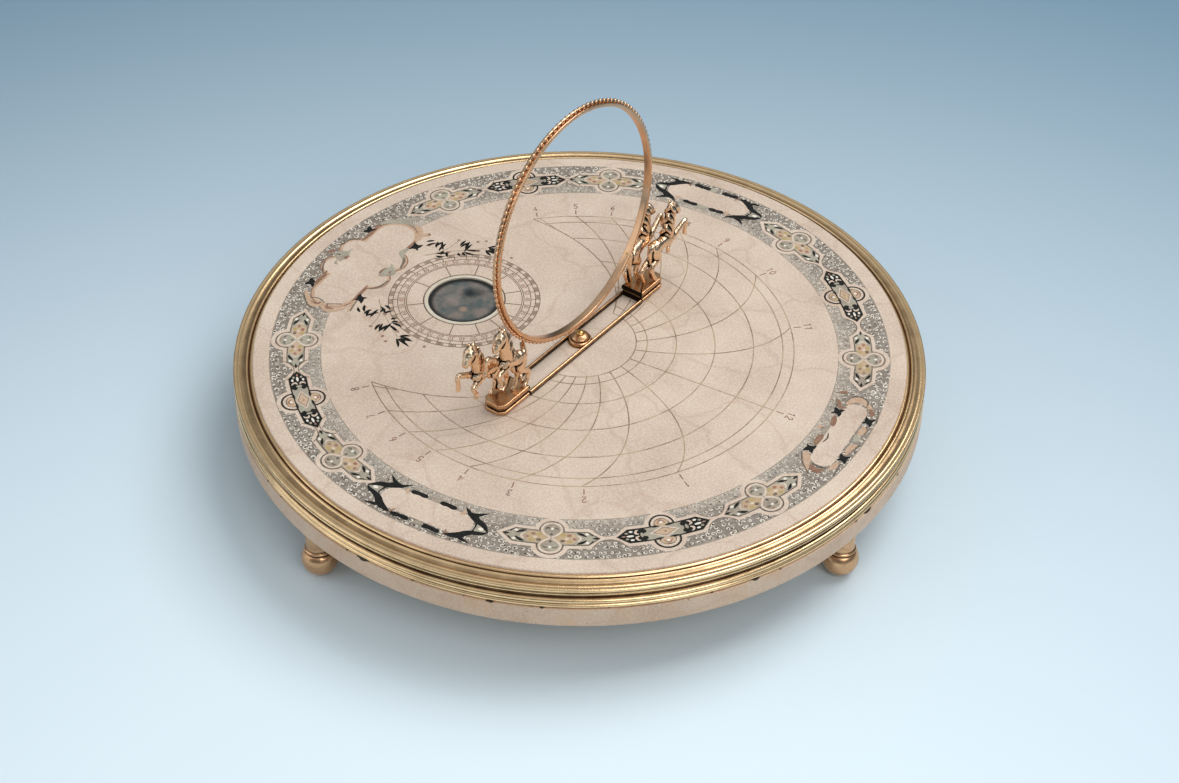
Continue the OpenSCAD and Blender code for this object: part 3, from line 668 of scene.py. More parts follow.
def hexagon(centre, half_l, flat_l, half_h, top):
    """A long hexagon with pointed ends, as one strip whose width narrows from the flats to the points."""
    s = np.union1d(np.linspace(-half_l, half_l, 25), [-flat_l, flat_l])
    half = half_h * np.clip((half_l - np.abs(s)) / (half_l - flat_l), 0.004, 1)
    return strip(bend(s, 0 * s, centre), half, sunk, top)


def spot(centre, s0, t0, half_s, half_t, top, steps=14):
    """An oval spot, in mm in the band's own directions, as one strip whose half width follows the ellipse."""
    a = np.linspace(np.pi, 0, steps + 1)
    return strip(bend((s0 + half_s * np.cos(a)) * mm, (t0 + 0 * a) * mm, centre),
                 np.maximum(half_t * np.sin(a), 0.01) * mm, sunk, top)


def lobe_arc(centre, t0, r, half, top, first=0, last=360):
    """A painted circle, or a part of one, on the cross line of a motif, in mm."""
    whole = last - first == 360
    a = np.radians(np.linspace(first, last, 37)[:36 if whole else 37])
    return strip(bend(r * np.cos(a) * mm, (t0 + r * np.sin(a)) * mm, centre), half * mm, sunk, top,
                 closed=whole)


def lozenge(centre, s0, t0, half_s, half_t, top):
    """A small diamond: one short strip, widest in the middle, in mm."""
    s = s0 + half_s * np.array([-1, -0.5, 0, 0.5, 1])
    half = half_t * np.array([0.05, 0.52, 1, 0.52, 0.05])
    return strip(bend(s * mm, (t0 + 0 * s) * mm, centre), half * mm, sunk, top)


def touch(centre, knots, top):
    """A short brush stroke through knots of s, t and half width, in mm."""
    line = flow(knots, 4)
    half = np.maximum(line[:, 2], 0.03) * mm
    return strip(bend(line[:, 0] * mm, line[:, 1] * mm, centre), half, sunk, top)


tan_motifs = (24, 66, 112.75, 150.5, -24, -66, -112.75, -150.5)
dark_motifs = (45, 131.5, -45, -131.5)
hex_l, hex_flat, hex_h, ribbon_w = 19.3 * mm, 14.6 * mm, 3.8 * mm, 1.65 * mm
lobe_t, lobe_r = 4.15, 5.3
cream, outline, tan_fill, olive_fill, black_fill, green_fill, whites, rusts = [], [], [], [], [], [], [], []
for centre in tan_motifs + dark_motifs:
    cream.append(hexagon(centre, hex_l + 2.6 * mm, hex_flat + 0.6 * mm, hex_h + ribbon_w, layer[2]))
    cream += [spot(centre, 0, side * lobe_t, lobe_r + 1.8, lobe_r + 1.8, layer[2], 32) for side in (-1, 1)]
    outline.append(hexagon(centre, hex_l + 0.2 * mm, hex_flat + 0.1 * mm, hex_h + 0.15 * mm, layer[3]))
    outline += [spot(centre, 0, side * lobe_t, lobe_r, lobe_r, layer[3], 32) for side in (-1, 1)]
# the tan motif: two petals of tan, a looped pale ribbon that crosses in the middle, and black wedges
LOOP = np.array([(0, 0, 0.5), (2.6, 1.9, 0.45), (4.1, 4.4, 0.5), (2.9, 7.2, 0.5), (0, 8.2, 0.5),
                 (-2.9, 7.2, 0.5), (-4.1, 4.4, 0.5), (-2.6, 1.9, 0.45), (0, 0, 0.5)])
PETAL = np.array([(1.7, 0, 0.4), (4.0, 0, 2.3), (6.6, 0, 3.1), (9.0, 0, 2.6), (10.6, 0, 0.3)])
for centre in tan_motifs:
    green_fill.append(hexagon(centre, hex_l - 0.7 * mm, hex_flat - 0.3 * mm, hex_h - 0.4 * mm, layer[4]))
    for side in (-1, 1):
        green_fill.append(spot(centre, 0, side * lobe_t, 4.6, 4.6, layer[4], 24))
        across, along = np.array((1, side, 1)), np.array((side, 1, 1))
        cream.append(touch(centre, LOOP * across, layer[6]))
        outline.append(lozenge(centre, 0, side * 2.0, 0.7, 0.8, layer[6]))
        for k in (-1, 1):
            hook = [(-2.9 * k, 4.6, 0.1), (-1.9 * k, 5.5, 0.45), (-0.9 * k, 5.2, 0.2)] * across
            outline.append(touch(centre, hook, layer[6]))
        whites.append(spot(centre, 0.1, side * 5.1, 0.6, 0.6, layer[7], 10))
        rusts.append(touch(centre, [(-1.6, 6.6, 0.15), (-0.9, 7.1, 0.35), (0, 7.0, 0.15)] * across,
                           layer[6]))
        tan_fill.append(touch(centre, PETAL * along, layer[5]))
        for s, t, wide, high, colour in ((4.7, 1.5, 1.0, 0.75, outline), (4.6, -1.8, 1.2, 1.0, olive_fill),
                                         (7.4, 1.9, 1.1, 0.8, olive_fill), (7.2, -1.6, 1.0, 0.8, rusts),
                                         (9.4, 0.3, 0.8, 0.75, rusts), (6.2, 0.2, 0.9, 0.6, cream)):
            colour.append(spot(centre, side * s, t, wide, high, layer[6], 8))
        for t in (-1, 1):
            black_fill.append(touch(centre, [(side * 10.2, t * 3.1, 0.15), (side * 12.0, t * 2.4, 0.65),
                                             (side * 14.0, t * 1.1, 0.2)], layer[6]))
            black_fill.append(touch(centre, [(side * 15.2, t * 2.9, 0.1), (side * 16.6, t * 1.5, 0.3)],
                                    layer[6]))
            whites.append(spot(centre, side * 14.3, t * 2.4, 0.75, 0.6, layer[6], 10))
        black_fill.append(touch(centre, [(16.4, 0, 0.1), (17.8, 0, 0.5), (19.2, 0, 0.05)] * along,
                                layer[6]))
        cream.append(touch(centre, [(10.2, 1.9, 0.15), (11.8, 0, 0.5), (10.2, -1.9, 0.15)] * along,
                           layer[6]))
# the dark motif: black ends speckled with white scrollwork, a pale middle and a tan diamond
for centre in dark_motifs:
    black_fill.append(hexagon(centre, hex_l - 0.2 * mm, hex_flat, hex_h, layer[4]))
    green_fill.append(touch(centre, [(-8.4, 0, 2.2), (-7.4, 0, 3.2), (0, 0, 3.3), (7.2, 0, 3.2),
                                     (8.0, 0, 2.2)], layer[5]))
    cream.append(lozenge(centre, 0, 0, 6.0, 3.3, layer[6]))
    outline.append(lozenge(centre, 0, 0, 4.7, 2.5, layer[6] + 0.012 * mm))
    tan_fill.append(lozenge(centre, 0, 0, 4.2, 2.1, layer[7]))
    rusts.append(spot(centre, 0.3, 0, 0.5, 0.45, layer[8], 8))
    for side in (-1, 1):
        black_fill.append(lobe_arc(centre, side * lobe_t, lobe_r - 0.25, 0.35, layer[4],
                                   *((-5, 185) if side > 0 else (175, 365))))
        cream.append(lobe_arc(centre, side * lobe_t, lobe_r - 1.35, 0.55, layer[5],
                              *((0, 180) if side > 0 else (180, 360))))
        tan_fill.append(spot(centre, 0, side * 5.0, 2.9, 2.0, layer[4], 16))
        rusts.append(touch(centre, [(-1.8, side * 4.6, 0.15), (0, side * 6.4, 0.4),
                                    (1.8, side * 4.6, 0.15)], layer[5]))
        whites.append(spot(centre, 0, side * 5.2, 0.75, 0.6, layer[6], 10))
        for first, last in ((-4.6, -1.4), (1.2, 4.8)):
            middle = ((first + last) / 2, side * 3.4, 0.5)
            black_fill.append(touch(centre, [(first, side * 3.4, 0.2), middle, (last, side * 3.4, 0.2)],
                                    layer[6]))
        for t in (-1, 1):
            black_fill.append(spot(centre, side * 8.2, t * 1.9, 1.2, 1.1, layer[6], 10))
            cream.append(touch(centre, [(side * 10.4, t * 0.5, 0.2), (side * 11.6, t * 1.2, 0.5),
                                        (side * 11.2, t * 2.5, 0.4), (side * 10.2, t * 2.9, 0.1)],
                               layer[6]))
            whites.append(spot(centre, side * 13.4, t * 2.3, 0.8, 0.5, layer[6], 8))
            green_fill.append(spot(centre, side * 15.3, t * 1.6, 0.7, 0.5, layer[6], 8))
        green_fill.append(spot(centre, side * 9.2, 0, 0.7, 1.3, layer[6], 8))
        whites.append(spot(centre, side * 14.0, 0.1, 1.5, 0.5, layer[6], 8))
        rusts.append(spot(centre, side * 16.6, 0, 0.8, 0.4, layer[6], 8))

# between motifs less than 22 degrees apart, so not across a cartouche, the ribbons narrow to a waist, with
# the ground bulging in from both sides as half discs
waist, bulge_r, reach_s = 0.9, 6.5, 6.1
motifs = sorted(tan_motifs + dark_motifs)
for first, second in zip(motifs[:-1], motifs[1:]):
    if second - first < 22:
        centre = 0.5 * (first + second)
        s = np.linspace(-reach_s, reach_s, 21)
        cream.append(strip(bend(s * mm, 0 * s, centre),
                           (waist + bulge_r - np.sqrt(bulge_r ** 2 - s ** 2)) * mm,
                           sunk, layer[2] + 0.012 * mm))
        for side in (-1, 1):
            a = np.radians(np.linspace(200, 340, 25))
            edge = bend(bulge_r * np.cos(a) * mm, side * (waist + bulge_r + bulge_r * np.sin(a)) * mm,
                        centre)
            outline.append(strip(edge, 0.2 * mm, sunk, layer[3]))
olive_tan = paint("tan_filling", "#c2a58a", 0.4, speck=1.6, drift_to="#b59c78")
olive = paint("olive_filling", "#ad9866", 0.3, speck=1.6)
blue_black = paint("black_filling", "#0e100e", 0.12, faded_to="#66655c", speck=1.2)
grey_green = paint("grey_green_filling", "#9d9a8a", 0.5, speck=1.3, drift_to="#8f8577")
white_dots = paint("white_dots", "#e9e1d4", 0.2, speck=1.0)
rust_red = paint("rust_filling", "#94624f", 0.35, speck=1.4, drift_to="#8a6e62")

# The colours of the band are rubbed into it in this order: the ribbons are the bare stone, left standing
# between the fillings, and the small spots are touched in last.
for name, shapes, material in (
        ("band_ribbons", cream, stone), ("band_outlines", outline, dark_line),
        ("band_tan", tan_fill, olive_tan),
        ("band_olive", olive_fill, olive), ("band_black", black_fill, blue_black),
        ("band_green", green_fill, grey_green), ("band_white", whites, white_dots),
        ("band_rust", rusts, rust_red)):
    inlay(name, shapes, material)

# Four blank cartouches stand in the border, each in a strapwork frame with black clasps. The two at the
# sides are black, the one at noon is tan and rust, and the one by the compass is larger, with lobes.
fields, black_work, tan_work, rust_work, dark_work, green_work, eye_work = [], [], [], [], [], [], []


def set_in(points, degrees, centre_r):
    """From a cartouche's own directions in mm, X along it and Y outwards, to the dial's plane."""
    x, y = np.asarray(points, float).T * mm
    c, s = math.cos(math.radians(degrees)), math.sin(math.radians(degrees))
    return np.stack([(centre_r + y) * c + x * s, (centre_r + y) * s - x * c], 1)


def brush(knots, degrees, centre_r, top):
    """A brush stroke through knots of x, y and half width in mm; all three run smoothly from knot to knot."""
    line = flow(knots, 6)
    return strip(set_in(line[:, :2], degrees, centre_r), np.maximum(line[:, 2], 0.03) * mm, sunk, top)


def blank(x, y, half_l, half_h, degrees, centre_r, top):
    """A bar with round ends, or a disc where both halves are equal: its half width follows a quarter circle
    near each end."""
    a = np.linspace(0, math.pi / 2, 11)
    along, half = half_l - half_h + half_h * np.sin(a), half_h * np.maximum(np.cos(a), 0.01)
    along, half = np.concatenate([-along[::-1], along]), np.concatenate([half[::-1], half])
    return strip(set_in(np.stack([x + along, y + 0 * along], 1), degrees, centre_r), half * mm, sunk, top)


def clasp(x, y, lean, degrees, centre_r, size=1.0):
    """A black clasp: a thick stroke with a hooked tip at either end, and a barb across it."""
    k = size
    black_work.append(brush([(x - 2.6 * k * lean, y - 2.0 * k, 0.1),
                             (x - 1.1 * k * lean, y - 1.1 * k, 0.9 * k),
                             (x, y, 1.5 * k), (x + 1.2 * k * lean, y + 1.2 * k, 0.9 * k),
                             (x + 2.8 * k * lean, y + 1.7 * k, 0.15)], degrees, centre_r, layer[6]))
    black_work.append(brush([(x - 2.4 * k * lean, y + 2.2 * k, 0.15),
                             (x - 0.9 * k * lean, y + 0.9 * k, 0.9 * k),
                             (x + 0.9 * k * lean, y - 0.9 * k, 0.6 * k),
                             (x + 1.9 * k * lean, y - 2.1 * k, 0.1)],
                            degrees, centre_r, layer[6]))


side_r, large_r = 123.3 * mm, 112.0 * mm
# one end of the black frame at the sides: its upper and lower stroke, three spikes and the bar inside
FRAME_END = (
    [(12.2, 8.0, 0.1), (15.0, 7.2, 0.9), (18.0, 5.6, 1.3), (20.0, 3.3, 1.1), (22.8, 1.7, 0.8),
     (25.4, 0.7, 0.6), (27.2, -0.9, 0.08)],
    [(14.6, -6.9, 0.5), (17.6, -6.2, 1.3), (20.4, -4.6, 1.1), (23.4, -3.7, 0.9), (25.6, -2.2, 0.6),
     (27.2, -0.9, 0.08)],
    [(17.6, 6.2, 0.8), (20.2, 7.2, 0.6), (23.6, 7.6, 0.05)],
    [(17.2, -6.6, 0.9), (19.6, -8.2, 0.6), (22.2, -10.6, 0.05)],
    [(15.4, -6.9, 0.7), (13.4, -8.4, 0.35), (12.2, -9.6, 0.05)],
    [(20.4, 3.6, 0.4), (21.4, 0, 0.22), (20.4, -4.2, 0.4)])
for at in (90, -90):
    fields.append(blank(0.6, 0.4, 20.9, 6.0, at, side_r, layer[4]))
    for flip in (-1, 1):
        for knots in FRAME_END:
            knots = np.array(knots) * (1.07 if flip > 0 else -1.0, 1, 1.25)
            black_work.append(brush(knots, at, side_r, layer[5]))
        for y, first, last in ((7.9, 3.0, 11.4), (-6.6, 3.0, 10.6)):
            knots = [(first, y - 0.1, 0.35), (first + 1.4, y + 0.1, 0.85), ((first + last) / 2, y, 0.7),
                     (last - 1.2, y + 0.2, 0.85), (last, y - 0.3, 0.2)]
            black_work.append(brush(np.array(knots) * (flip, 1, 1.35) + (1.1, 0, 0), at, side_r, layer[5]))
        eye_work.append(blank(24.7 * flip + 0.9, -1.3, 1.1, 0.8, at, side_r, layer[5]))
        green_work.append(blank(24.3 * flip + 0.9, -1.4, 2.9, 2.1, at, side_r, layer[4]))
        tan_work.append(brush([(flip * 11.9, -4.6, 0.3), (flip * 13.4, -5.6, 0.8),
                               (flip * 13.0, -7.6, 0.3)], at, side_r, layer[5]))
        rust_work.append(brush([(flip * 13.8, 8.4, 0.2), (flip * 12.6, 7.0, 0.5), (flip * 11.8, 5.4, 0.2)],
                               at, side_r, layer[5]))
        # a thin line on the ground runs along the frame, with a small curl by each clasp
        dark_work.append(brush([(flip * 4, 9.6, 0.15), (flip * 9, 9.8, 0.3), (flip * 13, 9.5, 0.15)],
                               at, side_r, layer[3]))
    green_work.append(blank(-0.6, 7.8, 2.0, 1.3, at, side_r, layer[5]))
    green_work.append(blank(0.2, -6.9, 2.2, 1.4, at, side_r, layer[5]))

# noon: rolled ends and short scrolls in tan and rust between the clasps
fields.append(blank(0.6, 0.1, 21.4, 5.1, 0, side_r, layer[4]))
for x, y, lean in ((-12.9, 7.4, 1), (13.4, 7.5, 1), (-12.6, -6.4, 1), (14.2, -7.0, -1)):
    clasp(x, y, lean, 0, side_r)
tan_work += [brush(knots, 0, side_r, layer[5]) for knots in (
    [(-9.2, 7.0, 0.4), (-7.0, 7.7, 1.4), (-4.6, 7.4, 1.3), (-2.9, 6.6, 0.3)],
    [(3.0, 9.2, 0.4), (4.6, 7.9, 1.3), (7.6, 7.3, 1.1), (10.8, 7.6, 0.5)],
    [(16.4, 6.4, 0.4), (19.4, 6.3, 1.3), (22.4, 5.2, 0.6)],
    [(-20.4, 5.6, 0.8), (-22.6, 2.6, 1.3), (-24.0, -0.8, 1.7), (-22.0, -3.8, 1.5), (-18.6, -4.8, 0.7)],
    [(17.0, -7.6, 1.1), (20.4, -5.6, 1.7), (24.6, -3.9, 1.3), (27.8, -1.9, 0.2)])]
rust_work += [brush(knots, 0, side_r, layer[5]) for knots in (
    [(-9.6, -6.4, 0.3), (-7.2, -5.6, 1.2), (-4.2, -4.8, 1.0), (-3.0, -4.2, 0.3)],
    [(3.8, -5.8, 0.4), (6.0, -6.1, 1.4), (9.2, -6.2, 1.2), (11.2, -5.6, 0.3)],
    [(23.4, 3.2, 0.5), (25.4, 1.2, 1.3), (24.4, -1.4, 1.2), (22.8, -2.2, 0.3)],
    [(-19.8, -9.6, 0.4), (-17.8, -7.8, 0.9), (-15.6, -6.6, 0.6), (-16.6, -4.0, 0.4)],
    [(-16.2, 6.2, 0.3), (-18.2, 6.9, 0.9), (-20.6, 4.6, 0.7)],
    [(-26.2, -8.0, 0.9), (-24.8, -10.0, 0.9), (-24.2, -11.2, 0.2)])]
dark_work += [brush(knots, 0, side_r, layer[6]) for knots in (
    [(-9.4, 8.0, 0.2), (-7.4, 9.3, 0.4), (-4.6, 9.2, 0.15)],
    [(2.2, 10.0, 0.3), (4.8, 9.8, 0.45), (6.6, 9.2, 0.1)],
    [(16.8, 8.0, 0.3), (21, 8.1, 0.4), (24.8, 8.2, 0.2)],
    [(21.9, 3.6, 0.3), (22.6, 0.8, 0.6), (22.0, -2.4, 0.3)],
    [(-20.6, 3.2, 0.2), (-24.2, 2.4, 0.4), (-26.0, -0.6, 0.35), (-24.6, -4.4, 0.3), (-20.4, -5.8, 0.15)],
    [(-22.0, 8.0, 0.25), (-17.6, 9.6, 0.4), (-13.4, 10.8, 0.2)], [(20.6, -8.8, 0.3), (21.2, -10.2, 0.7)],
    [(1.8, -4.2, 0.2), (5, -3.3, 0.4), (8.4, -4.0, 0.2)],
    [(28.2, -1.4, 0.2), (23.4, -6.0, 0.35), (17.4, -9.2, 0.3)],
    [(-20.2, -10.2, 0.3), (-17.2, -8.9, 0.35), (-14.6, -7.9, 0.2)])]
green_work.append(brush([(-2.8, 6.2, 0.4), (-0.6, 7.4, 1.6), (1.6, 6.6, 0.5)], 0, side_r, layer[5]))
green_work.append(brush([(-2.6, -6.2, 0.5), (0, -6.6, 1.4), (2.6, -6.2, 0.5)], 0, side_r, layer[5]))
tan_work.append(blank(0, -8.8, 1.3, 1.1, 0, side_r, layer[5]))

# by the compass: a long field with two lobes above and two below, in a moulded frame
for x, y, wide, high in ((0, 0, 35.4, 11.0), (-7.6, 9.9, 8.1, 8.1), (7.6, 9.9, 8.1, 8.1),
                         (-7.3, -8.8, 8.1, 8.1), (7.3, -8.8, 8.1, 8.1)):
    rust_work.append(blank(x, y, wide, high, 180, large_r, layer[3]))
    tan_work.append(blank(x, y, wide - 0.55, high - 0.55, 180, large_r, layer[3] + 0.01 * mm))
    fields.append(blank(x, y, wide - (2.0 if wide > high else 1.7), high - 1.7, 180, large_r, layer[4]))
tan_work += [brush(knots, 180, large_r, layer[5]) for knots in (
    [(-22, -11.0, 0.5), (-28, -11.4, 0.9), (-33.0, -12.6, 0.3)],
    [(-30, -10.6, 0.6), (-34.2, -7.4, 1.5), (-36.6, -3.6, 1.4), (-35.4, 0, 0.5)],
    [(-35.4, 0, 0.5), (-36.6, 3.6, 1.5), (-33.8, 8.4, 1.4), (-29.4, 12.4, 0.4)],
    [(24, -10.4, 0.4), (29.6, -10.2, 1.3), (34.2, -7.6, 1.3), (36.4, -3.4, 0.5)],
    [(30.6, -10.6, 0.5), (33.0, -12.4, 1.2), (33.2, -13.4, 0.4)])]
rust_work += [brush(knots, 180, large_r, layer[6]) for knots in (
    [(-24, 11.6, 0.4), (-18, 11.7, 0.8), (-13, 12.2, 0.4)],
    [(14, 11.2, 0.3), (20, 10.9, 0.9), (28.4, 11.2, 0.9)],
    [(-34.8, -6.2, 0.3), (-35.6, -3.2, 0.6), (-33.4, -2.0, 0.3)],
    [(-35.0, 5.8, 0.3), (-35.2, 2.6, 0.6), (-33.2, 1.4, 0.3)],
    [(-26, -10.2, 0.3), (-19, -10.1, 0.7), (-13, -9.8, 0.3)],
    [(14.6, -10.0, 0.3), (20, -10.2, 0.7), (26, -10.3, 0.4)], [(33.2, -12.8, 0.8), (34.0, -13.4, 0.8)])]
dark_work += [brush(knots, 180, large_r, layer[6]) for knots in (
    [(-32.4, -13.4, 0.3), (-27, -12.2, 0.3), (-23, -11.8, 0.15)],
    [(-38.4, 2.6, 0.2), (-37.4, 6.2, 0.35), (-32, 11.8, 0.3)],
    [(-15.6, 12.4, 0.2), (-11.8, 15.4, 0.35), (-7, 17.4, 0.3)],
    [(7.0, 17.6, 0.4), (11.8, 16.4, 0.4), (14.6, 12.4, 0.3)],
    [(-33.0, -0.2, 0.3), (-31.6, 4.0, 0.25), (-32.8, 7.6, 0.3)],
    [(-33.4, -1.2, 0.3), (-31.6, -4.4, 0.25), (-30, -7.4, 0.3)],
    [(-14.6, -11.8, 0.2), (-11, -14.8, 0.4), (-5.4, -15.9, 0.3)],
    [(5.0, -15.6, 0.4), (10.8, -13.8, 0.7), (14.4, -10.4, 0.4)])]
green_work += [brush(knots, 180, large_r, layer[6]) for knots in (
    [(29.6, 11.6, 0.5), (33.4, 7.6, 1.5), (36.0, 2.4, 1.5), (36.2, -3.0, 0.6)],
    [(36.6, 3.0, 0.5), (39.6, 0.6, 1.3), (41.2, -3.6, 0.3)],
    [(-4.0, 10.8, 0.4), (-2.0, 13.0, 1.6), (0, 15.6, 1.2), (2.2, 13.0, 1.6), (4.2, 11.0, 0.4)],
    [(-4.4, 12.6, 0.5), (-6.4, 12.2, 0.5), (-6.6, 10.8, 0.3)], [(4.4, 12.0, 0.4), (6.6, 11.4, 0.35)],
    [(-4.6, -10.0, 0.4), (-2.0, -12.2, 1.6), (0.6, -14.2, 1.5), (3.6, -12.0, 0.8), (5.6, -10.4, 0.3)],
    [(12.0, -12.4, 0.6), (15.4, -9.8, 1.4), (19.6, -10.4, 0.6)])]
green_work += [blank(0, 12.0, 3.0, 2.2, 180, large_r, layer[5]),
               blank(0, -11.6, 3.2, 2.2, 180, large_r, layer[5])]
rust_work += [brush(knots, 180, large_r, layer[7]) for knots in (
    [(-1.4, 9.6, 0.2), (-0.2, 10.6, 0.7), (1.0, 9.6, 0.2)],
    [(-1.6, 17.4, 0.3), (0.2, 19.2, 0.8), (2.2, 17.6, 0.3)],
    [(-3.4, -9.8, 0.3), (-1.2, -9.2, 0.6), (1.8, -9.8, 0.3)], [(-0.8, -13.4, 0.5), (1.0, -12.8, 0.4)])]
for x, y, lean in ((-23.4, 13.2, 1), (22.6, 12.6, 1), (-22.6, -12.4, 1), (22.4, -12.8, -1)):
    clasp(x, y, lean, 180, large_r, 1.05)
cartouche_tan = paint("tan_strapwork", "#b8967a", 0.6, faded_to="#d6c3b0", speck=1.3)
cartouche_rust = paint("rust_strapwork", "#83604c", 0.45, faded_to="#c0a28c", speck=1.2)
for name, shapes, material in (
        ("cartouche_rust", rust_work, cartouche_rust), ("cartouche_tan", tan_work, cartouche_tan),
        ("cartouche_fields", fields, stone), ("cartouche_green", green_work, grey_green),
        ("cartouche_lines", dark_work, dark_line), ("cartouche_black", black_work, blue_black),
        ("cartouche_eyes", eye_work, white_dots)):
    inlay(name, shapes, material)

# Between the compass and the large cartouche grow two laurel sprigs, one the mirror of the other: pointed
# black-green leaves on thin stems, with brown berries, painted freehand on the stone.
sprig_at = np.array([(-65.06, -39.34)])
berry_r = 0.75
# each leaf's place, direction in degrees and length, and the places of berries and stems, in mm
LEAVES = ((-5.0, 1.8, 22, 5.5), (-5.0, 1.8, -8, 6.2), (-5.0, 1.8, -42, 5.2), (-15.6, 0.8, 85, 5.3),
          (-13.6, 1.8, 98, 5.6), (-13.6, 8.3, -14, 6.0), (-14.2, 10, 40, 2.6), (-26.5, 7.6, 62, 5.0),
          (-24.2, 7.4, 97, 5.4), (-23.4, 17.4, -28, 4.2), (-28.2, 9.0, 130, 4.2), (-20.6, 12.4, 70, 3.6))
BERRIES = ((-29.5, 12.9), (-19.7, 2.6), (-7.6, 5.3), (-8.3, -3), (8.3, 2.3), (-18.9, 12.9), (-11.4, -0.6))
STEMS = (((-27, 20.5), (-22, 14), (-20.2, 8), (-19.7, 2.6)), ((-27, 20), (-19, 12.5), (-12, 7), (-5, 1.8)))
leaves, berries, stems = [], [], []
for mirror in ((1, 1), (1, -1)):
    for x, y, turn, length in LEAVES:
        # each leaf is two pointed strokes side by side, a little fanned, the first one longer
        for fan, aside, share in ((-7, -0.8, 1.25), (9, 1.0, 0.95)):
            a, t = math.radians(turn + fan), np.linspace(0, 1, 9)[:, None]
            line = np.hstack([t * length * share + 0.4 * abs(aside), aside + 0.3 * np.sin(np.pi * t)])
            line = line @ np.array([(math.cos(a), math.sin(a)), (-math.sin(a), math.cos(a))])
            half = np.maximum(0.66 * np.sin(np.pi * t[:, 0]) ** 0.8, 0.04)
            leaves.append(strip((line + (x, y) + sprig_at) * mirror * mm, half * mm, sunk, layer[1]))
    for x, y in BERRIES:
        a = np.linspace(math.pi, 0, 11)
        across = np.stack([x + berry_r * np.cos(a), y + 0 * a], 1) + sprig_at
        half = np.maximum(berry_r * np.sin(a), 0.01)
        berries.append(strip(across * mirror * mm, half * mm, sunk, layer[1]))
    for knots in STEMS:
        stems.append(strip((flow(knots, 6) + sprig_at) * mirror * mm, 0.16 * mm, sunk, layer[0]))
inlay("laurel_leaves", leaves, paint("black_green_leaves", "#090b08", 0.12, faded_to="#45442f", speck=1.3))
inlay("laurel_berries", berries, paint("brown_berries", "#8d6a55", 0.4, speck=1.2))
inlay("laurel_stems", stems, paint("olive_stems", "#857a60", 0.5, speck=1.6))

# The compass is let into the stone: a card in a brass box, a magnetised steel needle on a pin, and an old
# glass under a flat silvered ring. The glass is fogged grey and stained beneath, so the needle hardly shows.
card_low, card_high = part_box("compass_card")
compass_x = 0.5 * (card_low.x + card_high.x)
glass_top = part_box("compass_glass")[1].z / mm


def on_compass(radius, degrees):
    """Points round the compass, by radius and by angle from the noon line."""
    return polar(radius, degrees) + (compass_x, 0)


dividers = (0, 21, 43.5, 73, 107, 141, 180, -141, -107, -73, -43.5, -21)
rose = [strip(on_compass(r * mm, round_trip), 0.17 * mm, sunk, layer[0], closed=True)
        for r in (18.3, 25.8, 26.6, 29.7, 31.8, 33.8)]
for first, last, half, angles in ((18.3, 25.8, 0.2, dividers), (29.7, 31.8, 0.17, range(0, 360, 10)),
                                  (31.8, 33.8, 0.16, range(0, 360, 5))):
    rose += [strip(on_compass(np.array([first, last]) * mm, a), half * mm, sunk, layer[1]) for a in angles]
rose_figures, rose_cells = [], []
for a in range(0, 360, 10):
    tens = str(a // 10 % 9 + 1) + "0"
    rose_figures += figures(tens, 2.1 * mm, on_compass(27.1 * mm, a), a - 90, 0.13 * mm, layer[1])
    rose_cells.append(strip(on_compass(32.8 * mm, np.linspace(a + 0.6, a + 4.4, 5)), 0.75 * mm, sunk,
                            layer[0]))
inlay("compass_rose", rose, paint("rose_brown", "#65503f", 0.3, faded_to="#a28a74", speck=1.3))
inlay("compass_figures", rose_figures, red_brown)
inlay("compass_cells", rose_cells, paint("brown_cells", "#85705f", 0.5, speck=1.0))


def darkened_card():
    """Old card: slate green, stained rust brown in clouds of about 8 mm, with dark mould at about 5 mm."""
    made, tree, in_mm = new_material("darkened_card")
    tone = clouded(tree, in_mm, "#606a68", "#9d877a", 8, (0.48, 0.66), 1.0, 3.0, 0.55)
    tone = clouded(tree, in_mm, tone, "#2c3434", 5, (0.58, 0.7), 1.0, 4.0)
    shader = add(tree, "BsdfPrincipled", {"Base Color": tone, "Roughness": 0.75})
    add(tree, "OutputMaterial", {"Surface": shader})
    return made


def old_glass():
    """Old crown glass, polished, with a slight waviness at about 12 mm. Its underside is fogged: slate grey,
    pinkish brown in clouds of 7 mm, two dark stains and a tan one. Round the edge it is painted dark as
    shadow under the ring."""
    made, tree, in_mm = new_material("fogged_glass")
    wave = add(tree, "TexNoise", {"Vector": in_mm, "Scale": 1 / 12, "Detail": 1.0})
    bump = add(tree, "Bump", {"Height": wave, "Strength": 0.1, "Distance": 0.0003})
    tone = clouded(tree, in_mm, "#5a6361", "#8b7e75", 7, (0.4, 0.62), 1.0, 3.0, 0.6)
    # stains by their place, the radii between which each fades out, its strength and its colour; the last,
    # dark round the edge, is painted shadow under the ring
    for x, y, first, last, strength, stain in (
            (-60, 6.1, 0.5, 5.5, 0.9, "#15191a"), (-56, 9, 0.5, 4, 0.6, "#1d2324"),
            (-56.6, -5.3, 0.5, 2.8, 0.6, "#c09c80"),
            (-65, -1, 1, 5, 0.5, "#a8968a"), (compass_x / mm, 0, 15.1, 12.7, 0.95, "#0c1010")):
        off = add(tree, "VectorMath", {0: in_mm, 1: (x, y, glass_top)}, operation="SUBTRACT")
        off = add(tree, "VectorMath", {0: off}, operation="LENGTH")
        mask = add(tree, "MapRange", {0: off, 1: first, 2: last, 3: strength, 4: 0.0},
                   interpolation_type="SMOOTHSTEP")
        tone = add(tree, "Mix", {0: mask, 6: tone, 7: stain}, data_type="RGBA")
    shader = add(tree, "BsdfPrincipled", {"Base Color": tone, "Roughness": 0.05, "IOR": 1.5,
                                          "Alpha": 0.78, "Normal": bump})
    add(tree, "OutputMaterial", {"Surface": shader})
    return made


